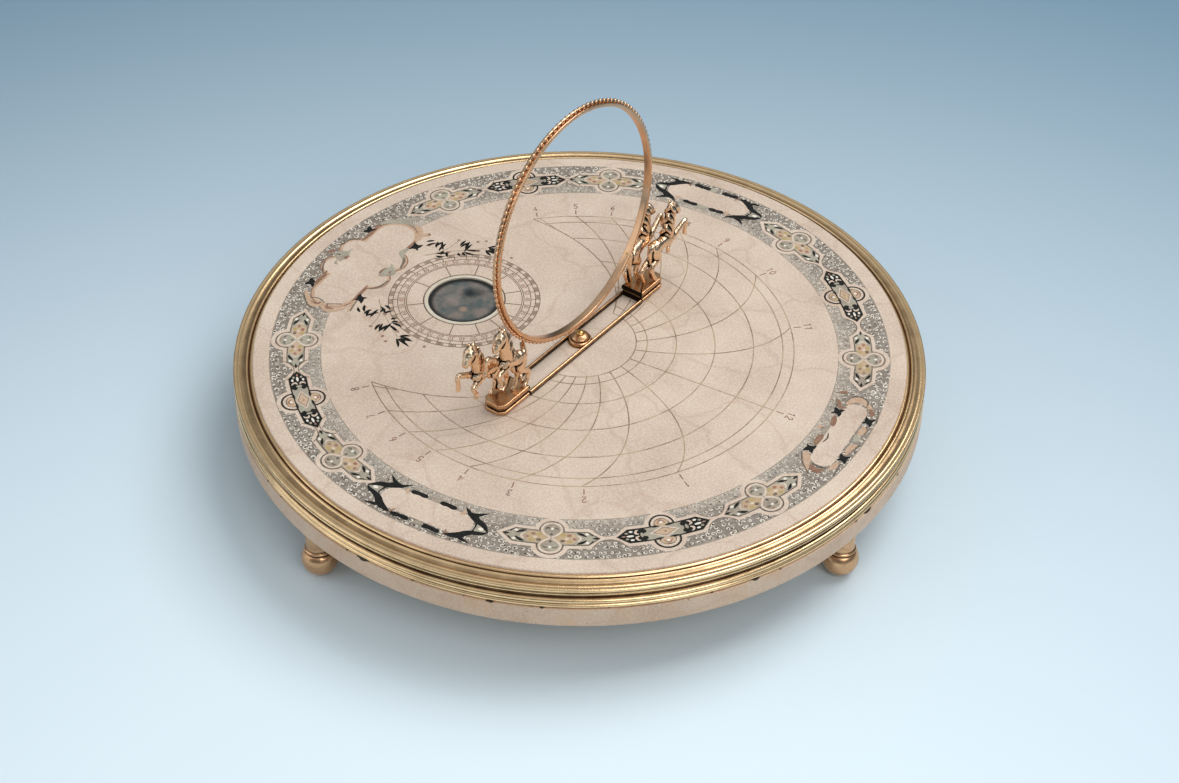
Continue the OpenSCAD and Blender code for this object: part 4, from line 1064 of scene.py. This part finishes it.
def silvered_ring():
    """Silvered brass under cream varnish, which is worn in clouds of 2.5 mm, so little metal shows."""
    made, tree, in_mm = new_material("silvered_brass")
    wear = add(tree, "TexNoise", {"Vector": in_mm, "Scale": 1 / 2.5, "Detail": 5.0})
    tone = add(tree, "Mix", {0: wear, 6: "#efe6d6", 7: "#c2b298"}, data_type="RGBA")
    rough = add(tree, "MapRange", {0: wear, 3: 0.3, 4: 0.5})
    shader = add(tree, "BsdfPrincipled", {"Base Color": tone, "Metallic": 0.2, "Roughness": rough})
    add(tree, "OutputMaterial", {"Surface": shader})
    return made


def blued_steel():
    """Heat-blued steel, its blue worn to grey where fingers and time reached it."""
    made, tree, in_mm = new_material("blued_steel")
    wear = add(tree, "TexNoise", {"Vector": in_mm, "Scale": 1 / 1.5, "Detail": 4.0})
    tone = add(tree, "Mix", {0: wear, 6: "#2a3446", 7: "#6a6f74"}, data_type="RGBA")
    shader = add(tree, "BsdfPrincipled", {"Base Color": tone, "Metallic": 1.0, "Roughness": 0.35})
    add(tree, "OutputMaterial", {"Surface": shader})
    return made


finish_node("compass_card", darkened_card())
finish_node("compass_glass", old_glass())
finish_node("compass_bezel", silvered_ring())
finish_node("compass_needle", blued_steel())
finish_node("needle_cap", turned_brass)

# The rule is cast brass, filed, chased and gilt: two moulded plinths, two straight rails between them and a
# domed boss, all in one plane a hair above the stone. It is fixed on a spindle that turns in the bush.
for name in ("rule_spindle", "spindle_washer", "spindle_nut"):
    finish_node(name, turned_brass)
rule_angle = math.radians(82)
rule_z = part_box("rule_boss")[0].z
cast_gilt = metal("cast_gilt_brass", "#d5a67b", "#1d130c", 0.24, spots=3.5, chased=0.3)


def on_rule(points, turned=0.0):
    """From the rule's own directions, X along it and Z up from its underside, to its place on the dial."""
    a = rule_angle + turned
    c, s = math.cos(a), math.sin(a)
    x, y, z = np.asarray(points, float).T
    return np.stack([c * x - s * y, s * x + c * y, z + rule_z], 1)


def rule_piece(name, shape, material, replaces, turned=0.0, hollow=None):
    """A piece in the rule's own directions, put in place; it rides on the rule and stands for a node."""
    points, quads = shape
    made = mesh_object(name, on_rule(points, turned), quads, material)
    if hollow is not None:
        mark_hollows(made, hollow)
    merge(made)
    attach(made, "rule")
    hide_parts(replaces)
    return made


def closed_rows(rows):
    """A stack of closed rings of points as quads; the first and last ring are points, so the ends close."""
    count, around = rows.shape[:2]
    i, j = np.meshgrid(np.arange(count - 1), np.arange(around), indexing="ij")
    on = (j + 1) % around
    quads = np.stack([i * around + j, i * around + on, (i + 1) * around + on, (i + 1) * around + j], 2)
    return rows.reshape(-1, 3), quads.reshape(-1, 4)


plinth_half, corner_cut = 5.8 * mm, 2.6 * mm
PLINTHS = {"a": (0.0, 37.4 * mm, 55.5 * mm), "b": (math.pi, 41.6 * mm, 61 * mm)}
# inset from the edge and height, from the underside to the top, in mm
moulding = np.array([(0.35, 0), (0.05, 0.12), (0, 0.35), (0, 1.0), (0.12, 1.3), (0.4, 1.45), (0.75, 1.5),
                     (0.95, 1.75), (1.05, 2.2), (1.0, 2.7), (0.8, 3.0), (0.45, 3.1), (0.25, 3.3),
                     (0.2, 3.7), (0.24, 4.4), (0.4, 4.75), (0.7, 4.88), (1.0, 4.9)]) * mm
moulding = worn(even(moulding, 0.12 * mm), 1)
# the grooves of the moulding are darkened: part tarnish, part painted shade
plinth_hollow = hollows(np.stack([-moulding[:, 0], moulding[:, 1]], 1), 0.9 * mm)
for end, (turned, start, reach) in PLINTHS.items():
    edge = np.array([(start, -plinth_half), (reach - corner_cut, -plinth_half),
                     (reach, corner_cut - plinth_half), (reach, plinth_half - corner_cut),
                     (reach - corner_cut, plinth_half), (start, plinth_half), (start, -plinth_half)])
    edge = even(edge, 0.4 * mm)
    edge[1:-1] = worn(edge, 2)[1:-1]
    edge = edge[:-1]
    outward = np.roll(edge, -1, 0) - np.roll(edge, 1, 0)
    outward = np.stack([outward[:, 1], -outward[:, 0]], 1)
    outward /= np.linalg.norm(outward, axis=1, keepdims=True)
    rings = edge[None] - moulding[:, None, :1] * outward[None]
    rings = np.concatenate([rings, np.broadcast_to(moulding[:, None, 1:], rings.shape[:2] + (1,))], 2)
    middle = ((start + reach) / 2, 0)
    caps = [np.broadcast_to((*middle, z), (1, len(edge), 3)) for z in (moulding[0, 1], moulding[-1, 1])]
    rings = np.concatenate([caps[0], rings, caps[1]])
    # painted shadow: the inner end is dark all over
    shade = np.maximum(np.concatenate([[0], plinth_hollow, [0.35]])[:, None],
                       rings[:, :, 0] < start + 0.9 * mm)
    rule_piece(f"moulded_plinth_{end}", closed_rows(rings), cast_gilt, f"plinth_{end}", turned,
               shade.ravel())

# each rail is a straight bar, square below and rounded on top, let into the ends of the plinths
rail_mid, rail_w, rail_h, let_in = 5.25 * mm, 1.5 * mm, 1.8 * mm, 0.1 * mm
rail_x = np.linspace(-PLINTHS["b"][1] - let_in, PLINTHS["a"][1] + let_in, 41)
section = np.vstack([[(-0.5, 0), (0.5, 0)], arc(0.4, 0.1, 0.1, -90, 0, 3),
                     arc(0, 0.58, 0.5, 0, 180, 14), arc(-0.4, 0.1, 0.1, 180, 270, 3)])
section[:, 1] = np.where(section[:, 1] > 0.58, 0.58 + (section[:, 1] - 0.58) * 0.84, section[:, 1])
section = section * (rail_w, rail_h)
for name, side in (("straight_rail_back", 1), ("straight_rail_front", -1)):
    rail_rows = np.stack(np.broadcast_arrays(rail_x[:, None], side * rail_mid + section[None, :, 0],
                                             section[None, :, 1]), 2)[:, ::-1]
    caps = [np.broadcast_to(rail_rows[k].mean(0), rail_rows[k].shape)[None] for k in (0, -1)]
    # painted shade: each rail darkens towards its foot, the back rail more than the front
    flank_shade = np.clip((1.2 if side < 0 else 1.6) - section[::-1, 1] / (0.75 * rail_h), 0, 1)
    rule_piece(name, closed_rows(np.concatenate([caps[0], rail_rows, caps[1]])), cast_gilt,
               "rail_back" if side > 0 else "rail_front", 0.0, np.tile(flank_shade, len(rail_x) + 2))

# the boss: a low foot cut to fit between the rails, a quirk and a dome round the riveted end of the spindle
boss_r, dome_r, boss_h, tenon_r, boss_flat = 5.1 * mm, 5.6 * mm, 4.4 * mm, 1.8 * mm, 4.48 * mm
dome_low = 1.9 * mm
dome = arc(0, boss_h - dome_r, dome_r, math.degrees(math.acos(4.1 * mm / dome_r)),
           math.degrees(math.acos((tenon_r + 0.35 * mm) / dome_r)), 16)
boss_line = np.vstack([[(tenon_r, 0), (boss_r - 0.2 * mm, 0), (boss_r, 0.2 * mm), (boss_r, 1.1 * mm),
                        (boss_r - 0.25 * mm, 1.5 * mm), (4.6 * mm, 1.62 * mm), (4.1 * mm, 1.7 * mm)],
                       dome[dome[:, 1] > dome_low],
                       [(tenon_r + 0.15 * mm, boss_h - 0.4 * mm), (tenon_r, boss_h - 0.6 * mm)]])
boss_line = worn(even(boss_line, 0.15 * mm), 2)
boss_points, boss_quads = lathe(boss_line, 72, closed=True)
boss_points[:, 1] = np.clip(boss_points[:, 1], -boss_flat, boss_flat)
# the boss's grooves are darkened: part tarnish, part painted shade
rule_piece("domed_boss", (boss_points, boss_quads), cast_gilt, "rule_boss",
           hollow=np.repeat(hollows(boss_line, 0.9 * mm), 72))

# The four horses are lost-wax castings in brass, chased and gilt, rearing outwards in pairs on the plinths.
# In each pair one leads and one trails. Tangs pin their hind hooves, and the trailing horses' tails rise to
# the shadow ring and carry it. Recesses and undersides are painted dark as shade; backs and heads stay light.
cast_horse = metal("chased_gilt_brass", "#f8d5b2", "#0b0705", 0.15, spots=3.0, chased=1.0)
top_z = 4.9 * mm
ring_mean, ring_w, ring_t, ring_z, ring_off = 51.8, 3.3, 1.6, 61.9, 3.0
ring_lean = math.radians(1.8)
bead_d = 1.9
stride, hoof_y = 4.5, 1.35
tip_at, withers = np.array((-1.5, 4.0)), np.array((4.8, 22.0))


def swung(knots, about, degrees):
    """Knots turned forwards in the horse's own upright plane, about a point, by an angle."""
    made = np.array(knots, float)
    c, s = math.cos(math.radians(degrees)), math.sin(math.radians(degrees))
    x, z = made[:, 0] - about[0], made[:, 2] - about[1]
    made[:, 0], made[:, 2] = about[0] + x * c + z * s, about[1] - x * s + z * c
    return made


def limb(knots, per=6, around=18):
    """A limb: ellipses carried along a smooth line. Each knot is x, y, z, the radius in the horse's own
    plane and the radius sideways. Both ends are round: the last rings shrink along a quarter ellipse."""
    line = flow(knots, per)
    along = np.gradient(line[:, :3], axis=0)
    along /= np.linalg.norm(along, axis=1, keepdims=True)
    t = np.radians([90, 62, 35, 12])
    out, shrink = 0.9 * np.sin(t)[:, None], np.cos(t)[:, None] - 1
    first = line[0] + np.hstack([-along[0] * line[0, 3] * out, line[0, 3:] * shrink])
    last = line[-1] + np.hstack([along[-1] * line[-1, 3] * out, line[-1, 3:] * shrink])
    line = np.vstack([first, line, last[::-1]])
    along = np.vstack([np.repeat(along[:1], 4, 0), along, np.repeat(along[-1:], 4, 0)])
    side = np.array((0, 1.0, 0)) - along * along[:, 1:2]
    side /= np.linalg.norm(side, axis=1, keepdims=True)
    over = np.cross(side, along)
    a = np.linspace(0, 2 * np.pi, around, endpoint=False)[None, :, None]
    rows = (line[:, None, :3] + line[:, None, 3:4] * np.cos(a) * over[:, None]
            + line[:, None, 4:5] * np.sin(a) * side[:, None])
    return closed_rows(rows)


def low_tail(lean):
    """Knots of a tail that falls to the plinth behind a leading horse."""
    x, _, z = swung([(-5.6, 0, 18)], tip_at, lean)[0]
    return [(x + 1.2, 0, z - 0.8, 1.0, 1.0), (x - 0.6, 0, z + 0.3, 1.0, 0.9),
            (x - 2.1, 0, z - 2.4, 1.15, 1.0), (x - 2.2, 0, z - 5.5, 1.15, 1.0),
            (x - 1.5, 0, z - 9, 0.95, 0.85), (x - 0.5, 0, 1.0, 0.6, 0.55)]


def ring_tail(lean, place, side_y, degrees, side):
    """Knots of a tail that lifts to the outside of the ring and falls back to the plinth."""
    x, _, z = swung([(-5.6, 0, 18)], tip_at, lean)[0]
    reach, a = ring_mean + ring_t / 2 + bead_d + 0.4, math.radians(degrees)
    lift = ring_z - 0.4 - 4.9
    to_x, to_z = reach * math.sin(a) - place, lift - reach * math.cos(a) * math.cos(ring_lean)
    to_y = side * (ring_off - reach * math.cos(a) * math.sin(ring_lean)) - side_y
    return [(x + 1.0, 0, z - 0.8, 1.0, 1.0), (x, 0, z, 1.0, 1.0), (to_x, to_y, to_z, 0.95, 0.95),
            (to_x - 0.2, to_y * 0.7, to_z - 6, 1.05, 1.0),
            (-stride - 1.6, to_y * 0.4, to_z * 0.35, 0.85, 0.8),
            (-stride - 0.3, 0, 1.0, 0.6, 0.6)]


def horse_limbs(lean, neck, tail):
    """Every limb of a rearing horse that stands at the origin and faces +X, in mm."""
    def body(knots):
        return swung(knots, tip_at, lean)

    def nape(knots):
        return body(swung(knots, withers, neck))
    made = [
        limb(body([(-5.6, 0, 17.2, 2.0, 1.8), (-4.2, 0, 16.9, 3.1, 2.65), (-2.0, 0, 17.0, 3.4, 2.8),
                   (0.8, 0, 17.9, 3.1, 2.6), (3.2, 0, 18.7, 3.3, 2.65), (5.6, 0, 19.4, 3.7, 2.8),
                   (7.4, 0, 20.0, 2.8, 2.3)])),
        limb(nape([(4.6, 0, 20.4, 3.5, 2.65), (5.5, 0, 23.6, 3.3, 2.6), (6.1, 0, 27.2, 3.0, 2.5),
                   (6.8, 0, 30.8, 2.7, 2.45), (7.3, 0, 33.4, 2.5, 2.4), (7.9, 0, 34.9, 2.1, 2.1)])),
        limb(nape([(7.4, 0, 35.3, 2.0, 2.1), (8.6, 0, 34.4, 2.6, 2.65), (9.9, 0, 33.0, 2.4, 2.4),
                   (11.1, 0, 31.5, 1.85, 1.95), (12.1, 0, 30.3, 1.6, 1.75), (12.5, 0, 29.7, 1.2, 1.3)])),
        limb(nape([(8.4, 0, 32.8, 1.9, 2.0), (9.3, 0, 31.8, 1.6, 1.75), (10.5, 0, 30.4, 1.2, 1.3)]))]
    for s in (-1, 1):
        made.append(limb(nape([(7.3, 1.3 * s, 36.4, 0.8, 0.65), (7.5, 1.5 * s, 37.5, 0.65, 0.5),
                               (7.9, 1.6 * s, 38.3, 0.25, 0.2)]), around=10))
        made.append(limb(nape([(9.8, 2.2 * s, 34.5, 0.6, 0.45), (10.5, 2.05 * s, 33.8, 0.6, 0.45)]),
                         around=8))
        made.append(limb(body([(6.6, 1.2 * s, 20.6, 2.1, 1.5), (7.9, 1.25 * s, 19.6, 1.8, 1.3)]),
                         around=12))
    # the mane: locks that fall back from the crest of the neck, one below the other
    for k, (x, z) in enumerate(((6.6, 36.4), (5.6, 34.6), (4.8, 32.2), (4.1, 29.6), (3.4, 27.0),
                                (2.6, 24.6))):
        s = 1 if k % 2 else -1
        lock = [(x - 0.2, 0, z + 0.5, 0.85, 0.9), (x - 0.7, 1.0 * s, z - 0.6, 1.0, 0.9),
                (x - 0.2, 1.9 * s, z - 2.0, 0.85, 0.75), (x + 0.7, 2.35 * s, z - 3.6, 0.45, 0.4)]
        made.append(limb(nape(lock), per=4, around=10))
    made.append(limb(nape([(7.8, 0, 37.0, 0.8, 0.8), (9.0, 0.1, 36.3, 0.75, 0.7),
                           (10.0, 0.1, 34.9, 0.5, 0.5)]), around=8))
    for forward, y in ((0, -hoof_y), (-stride, hoof_y)):
        thigh = body([(-3.5, y * 0.8, 16.6, 2.8, 1.75), (-2.9 + 0.1 * forward, y * 0.95, 14.0, 2.7, 1.7),
                      (-1.2 + 0.3 * forward, y, 11.4, 2.0, 1.5)])
        shank = [(-2.4 + 0.6 * forward, y, 9.2, 1.5, 1.25), (-3.4 + 0.9 * forward, y, 6.9, 1.3, 1.15),
                 (-2.7 + 0.95 * forward, y, 4.8, 1.0, 0.95), (-1.7 + forward, y, 2.5, 1.05, 1.0),
                 (-1.1 + forward, y, 1.5, 0.95, 0.9)]
        made.append(limb(np.vstack([thigh, shank])))
        made.append(limb([(-0.95 + forward, y, 1.5, 1.0, 1.0), (-0.3 + forward, y, 0.5, 1.25, 1.15)],
                         around=12))
    made.append(limb(body([(5.2, -1.15, 19.0, 2.4, 1.5), (8.0, -1.35, 20.4, 1.8, 1.4),
                           (11.4, -1.45, 23.4, 1.45, 1.25), (15.1, -1.5, 26.5, 1.35, 1.2),
                           (16.3, -1.5, 25.2, 1.1, 1.05), (16.6, -1.5, 23.2, 0.98, 0.95),
                           (16.8, -1.5, 21.7, 1.05, 1.0)])))
    made.append(limb(body([(16.9, -1.5, 21.2, 0.95, 0.95), (17.3, -1.5, 20.1, 1.2, 1.1)]), around=12))
    made.append(limb(body([(5.6, 1.15, 18.2, 2.2, 1.5), (8.6, 1.35, 17.5, 1.7, 1.35),
                           (11.4, 1.45, 17.3, 1.35, 1.2), (11.9, 1.5, 16.0, 1.1, 1.05),
                           (11.3, 1.5, 14.0, 0.98, 0.95), (10.8, 1.5, 12.7, 1.05, 1.0)])))
    made.append(limb(body([(10.9, 1.5, 12.2, 0.95, 0.95), (11.5, 1.5, 11.2, 1.2, 1.1)]), around=12))
    for s, lag in ((0, 0), (0.45, 0.5), (-0.45, 0.9)):
        strand = np.array(tail, float)
        strand[1:, 1] += s
        strand[1:, 0] -= 0.35 * np.sin(np.arange(len(strand) - 1) * 1.7 + 3 * lag)
        strand[:, 3:] *= 0.72
        made.append(limb(strand, around=12))
    return made


def cast_as_one(name, shapes, voxel, material):
    """Limbs run together as in a casting: a voxel mesh of their union, smoothed, with painted shade marked in
    the hollow attribute where the surface lies below its own smoothed copy and on the undersides."""
    rough = mesh_object(name + "_wax", *together(shapes), material)
    merge(rough)
    remesh = rough.modifiers.new("remesh", "REMESH")
    remesh.mode, remesh.voxel_size = "VOXEL", voxel
    soften = rough.modifiers.new("soften", "SMOOTH")
    soften.factor, soften.iterations = 0.5, 3
    bpy.context.view_layer.update()
    mesh = bpy.data.meshes.new_from_object(rough.evaluated_get(bpy.context.evaluated_depsgraph_get()))
    bpy.data.objects.remove(rough)
    mesh.name = name
    made = bpy.data.objects.new(name, mesh)
    bpy.context.scene.collection.objects.link(made)
    count = len(mesh.vertices)
    points, normals = np.zeros(count * 3), np.zeros(count * 3)
    mesh.vertices.foreach_get("co", points)
    mesh.vertices.foreach_get("normal", normals)
    points, normals = points.reshape(-1, 3), normals.reshape(-1, 3)
    pairs = np.zeros(len(mesh.edges) * 2, int)
    mesh.edges.foreach_get("vertices", pairs)
    pairs = pairs.reshape(-1, 2)
    both = np.vstack([pairs, pairs[:, ::-1]])
    near = np.bincount(both[:, 0], minlength=count)[:, None]
    calm = points.copy()
    for _ in range(22):
        total = [np.bincount(both[:, 0], calm[both[:, 1], c], minlength=count) for c in range(3)]
        calm = 0.5 * calm + 0.5 * np.stack(total, 1) / near
    depth = ((calm - points) * normals).sum(1)
    # painted shade: the undersides are darkened, so the tops read lighter
    underside_shade = np.clip(0.5 - normals[:, 2], 0, 1) * 0.8
    mark_hollows(made, np.clip(depth / (0.06 * mm) + underside_shade, 0, 1))
    mesh.polygons.foreach_set("use_smooth", np.full(len(mesh.polygons), True))
    mesh.materials.clear()
    mesh.materials.append(material)
    return made


# place along the rule, side of its middle line, lean and set of the neck of each horse, and its tail
HORSES = {"horse_a_lead": (0.0, 50.4, -2.8, 17, -18, low_tail(17)),
          "horse_a_trail": (0.0, 45.6, 2.8, -2, -6, ring_tail(-2, 45.6, 2.8, 44.5, 1)),
          "horse_b_lead": (math.pi, 56.4, -2.8, 12, -5, low_tail(12)),
          "horse_b_trail": (math.pi, 48.8, 2.8, 0, 0, ring_tail(0, 48.8, 2.8, 43.5, -1))}
for name, (turned, along, aside, lean, neck, tail) in HORSES.items():
    shapes = [(on_rule(points * mm + (along * mm, aside * mm, top_z), turned), quads)
              for points, quads in horse_limbs(lean, neck, tail)]
    horse = cast_as_one("cast_" + name, shapes, 0.32 * mm, cast_horse)
    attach(horse, "rule")
    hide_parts(name)

# The shadow ring is a band of gilt brass, bent round and brazed, with polished faces and broken edges. It
# stands on the horses' tails and leans a little to the compass.
ring_gilt = metal("burnished_gilt_brass", "#dfb48e", "#6d4829", 0.2, spots=14.0)


def on_ring(points):
    """From the ring's own plane, with its axis along Z and its foot at -Y, to its place on the rule."""
    a = math.pi / 2 - ring_lean
    x, y, z = np.asarray(points, float).T
    placed = np.stack([x, math.cos(a) * y - math.sin(a) * z + ring_off * mm,
                       math.sin(a) * y + math.cos(a) * z + face_z + ring_z * mm - rule_z], 1)
    return on_rule(placed)


edge_r = 0.28
band_half_w, band_half_t = ring_w / 2 - edge_r, ring_t / 2 - edge_r
band_line = np.vstack([arc(ring_mean + band_half_t, -band_half_w, edge_r, -90, 0, 4),
                       arc(ring_mean + band_half_t, band_half_w, edge_r, 0, 90, 4),
                       arc(ring_mean - band_half_t, band_half_w, edge_r, 90, 180, 4),
                       arc(ring_mean - band_half_t, -band_half_w, edge_r, 180, 270, 4)]) * mm
ring_points, ring_quads = lathe(band_line, 300, closed=True)
ring = mesh_object("shadow_band", on_ring(ring_points), ring_quads, ring_gilt)
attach(ring, "rule")
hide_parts("shadow_ring")

# A beaded wire is soldered round the middle of the band's outer face: small round beads, a bead and a
# half from one to the next, on a thin core. It was drawn through beading dies and gilt with the ring.
bead_count, bead_r, core_r = 118, bead_d / 2, 0.55
bead_at = ring_mean + ring_t / 2 + bead_r - 0.25
down, about = np.meshgrid(np.linspace(0, np.pi, 8), np.linspace(0, 2 * np.pi, 10, endpoint=False),
                          indexing="ij")
ball = np.stack([np.cos(down), np.sin(down) * np.cos(about), np.sin(down) * np.sin(about)], 2) * bead_r
turn = np.linspace(0, 2 * np.pi, bead_count, endpoint=False)
c, s = np.cos(turn)[:, None, None], np.sin(turn)[:, None, None]
beads = np.stack([bead_at * c + ball[..., 1] * c - ball[..., 0] * s,
                  bead_at * s + ball[..., 1] * s + ball[..., 0] * c,
                  np.broadcast_to(ball[..., 2], (bead_count,) + ball.shape[:2])], 3) * mm
bead_shapes = [(points, quads[:, ::-1]) for points, quads in (closed_rows(bead) for bead in beads)]
core = arc(bead_at, 0, core_r, 0, 315, 7) * mm
points, quads = together(bead_shapes + [lathe(core, 280, closed=True)])
beading = mesh_object("beaded_wire", on_ring(points), quads, ring_gilt)
merge(beading)
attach(beading, "rule")
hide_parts("ring_beading")
finish_node("ring_rivets", turned_brass)
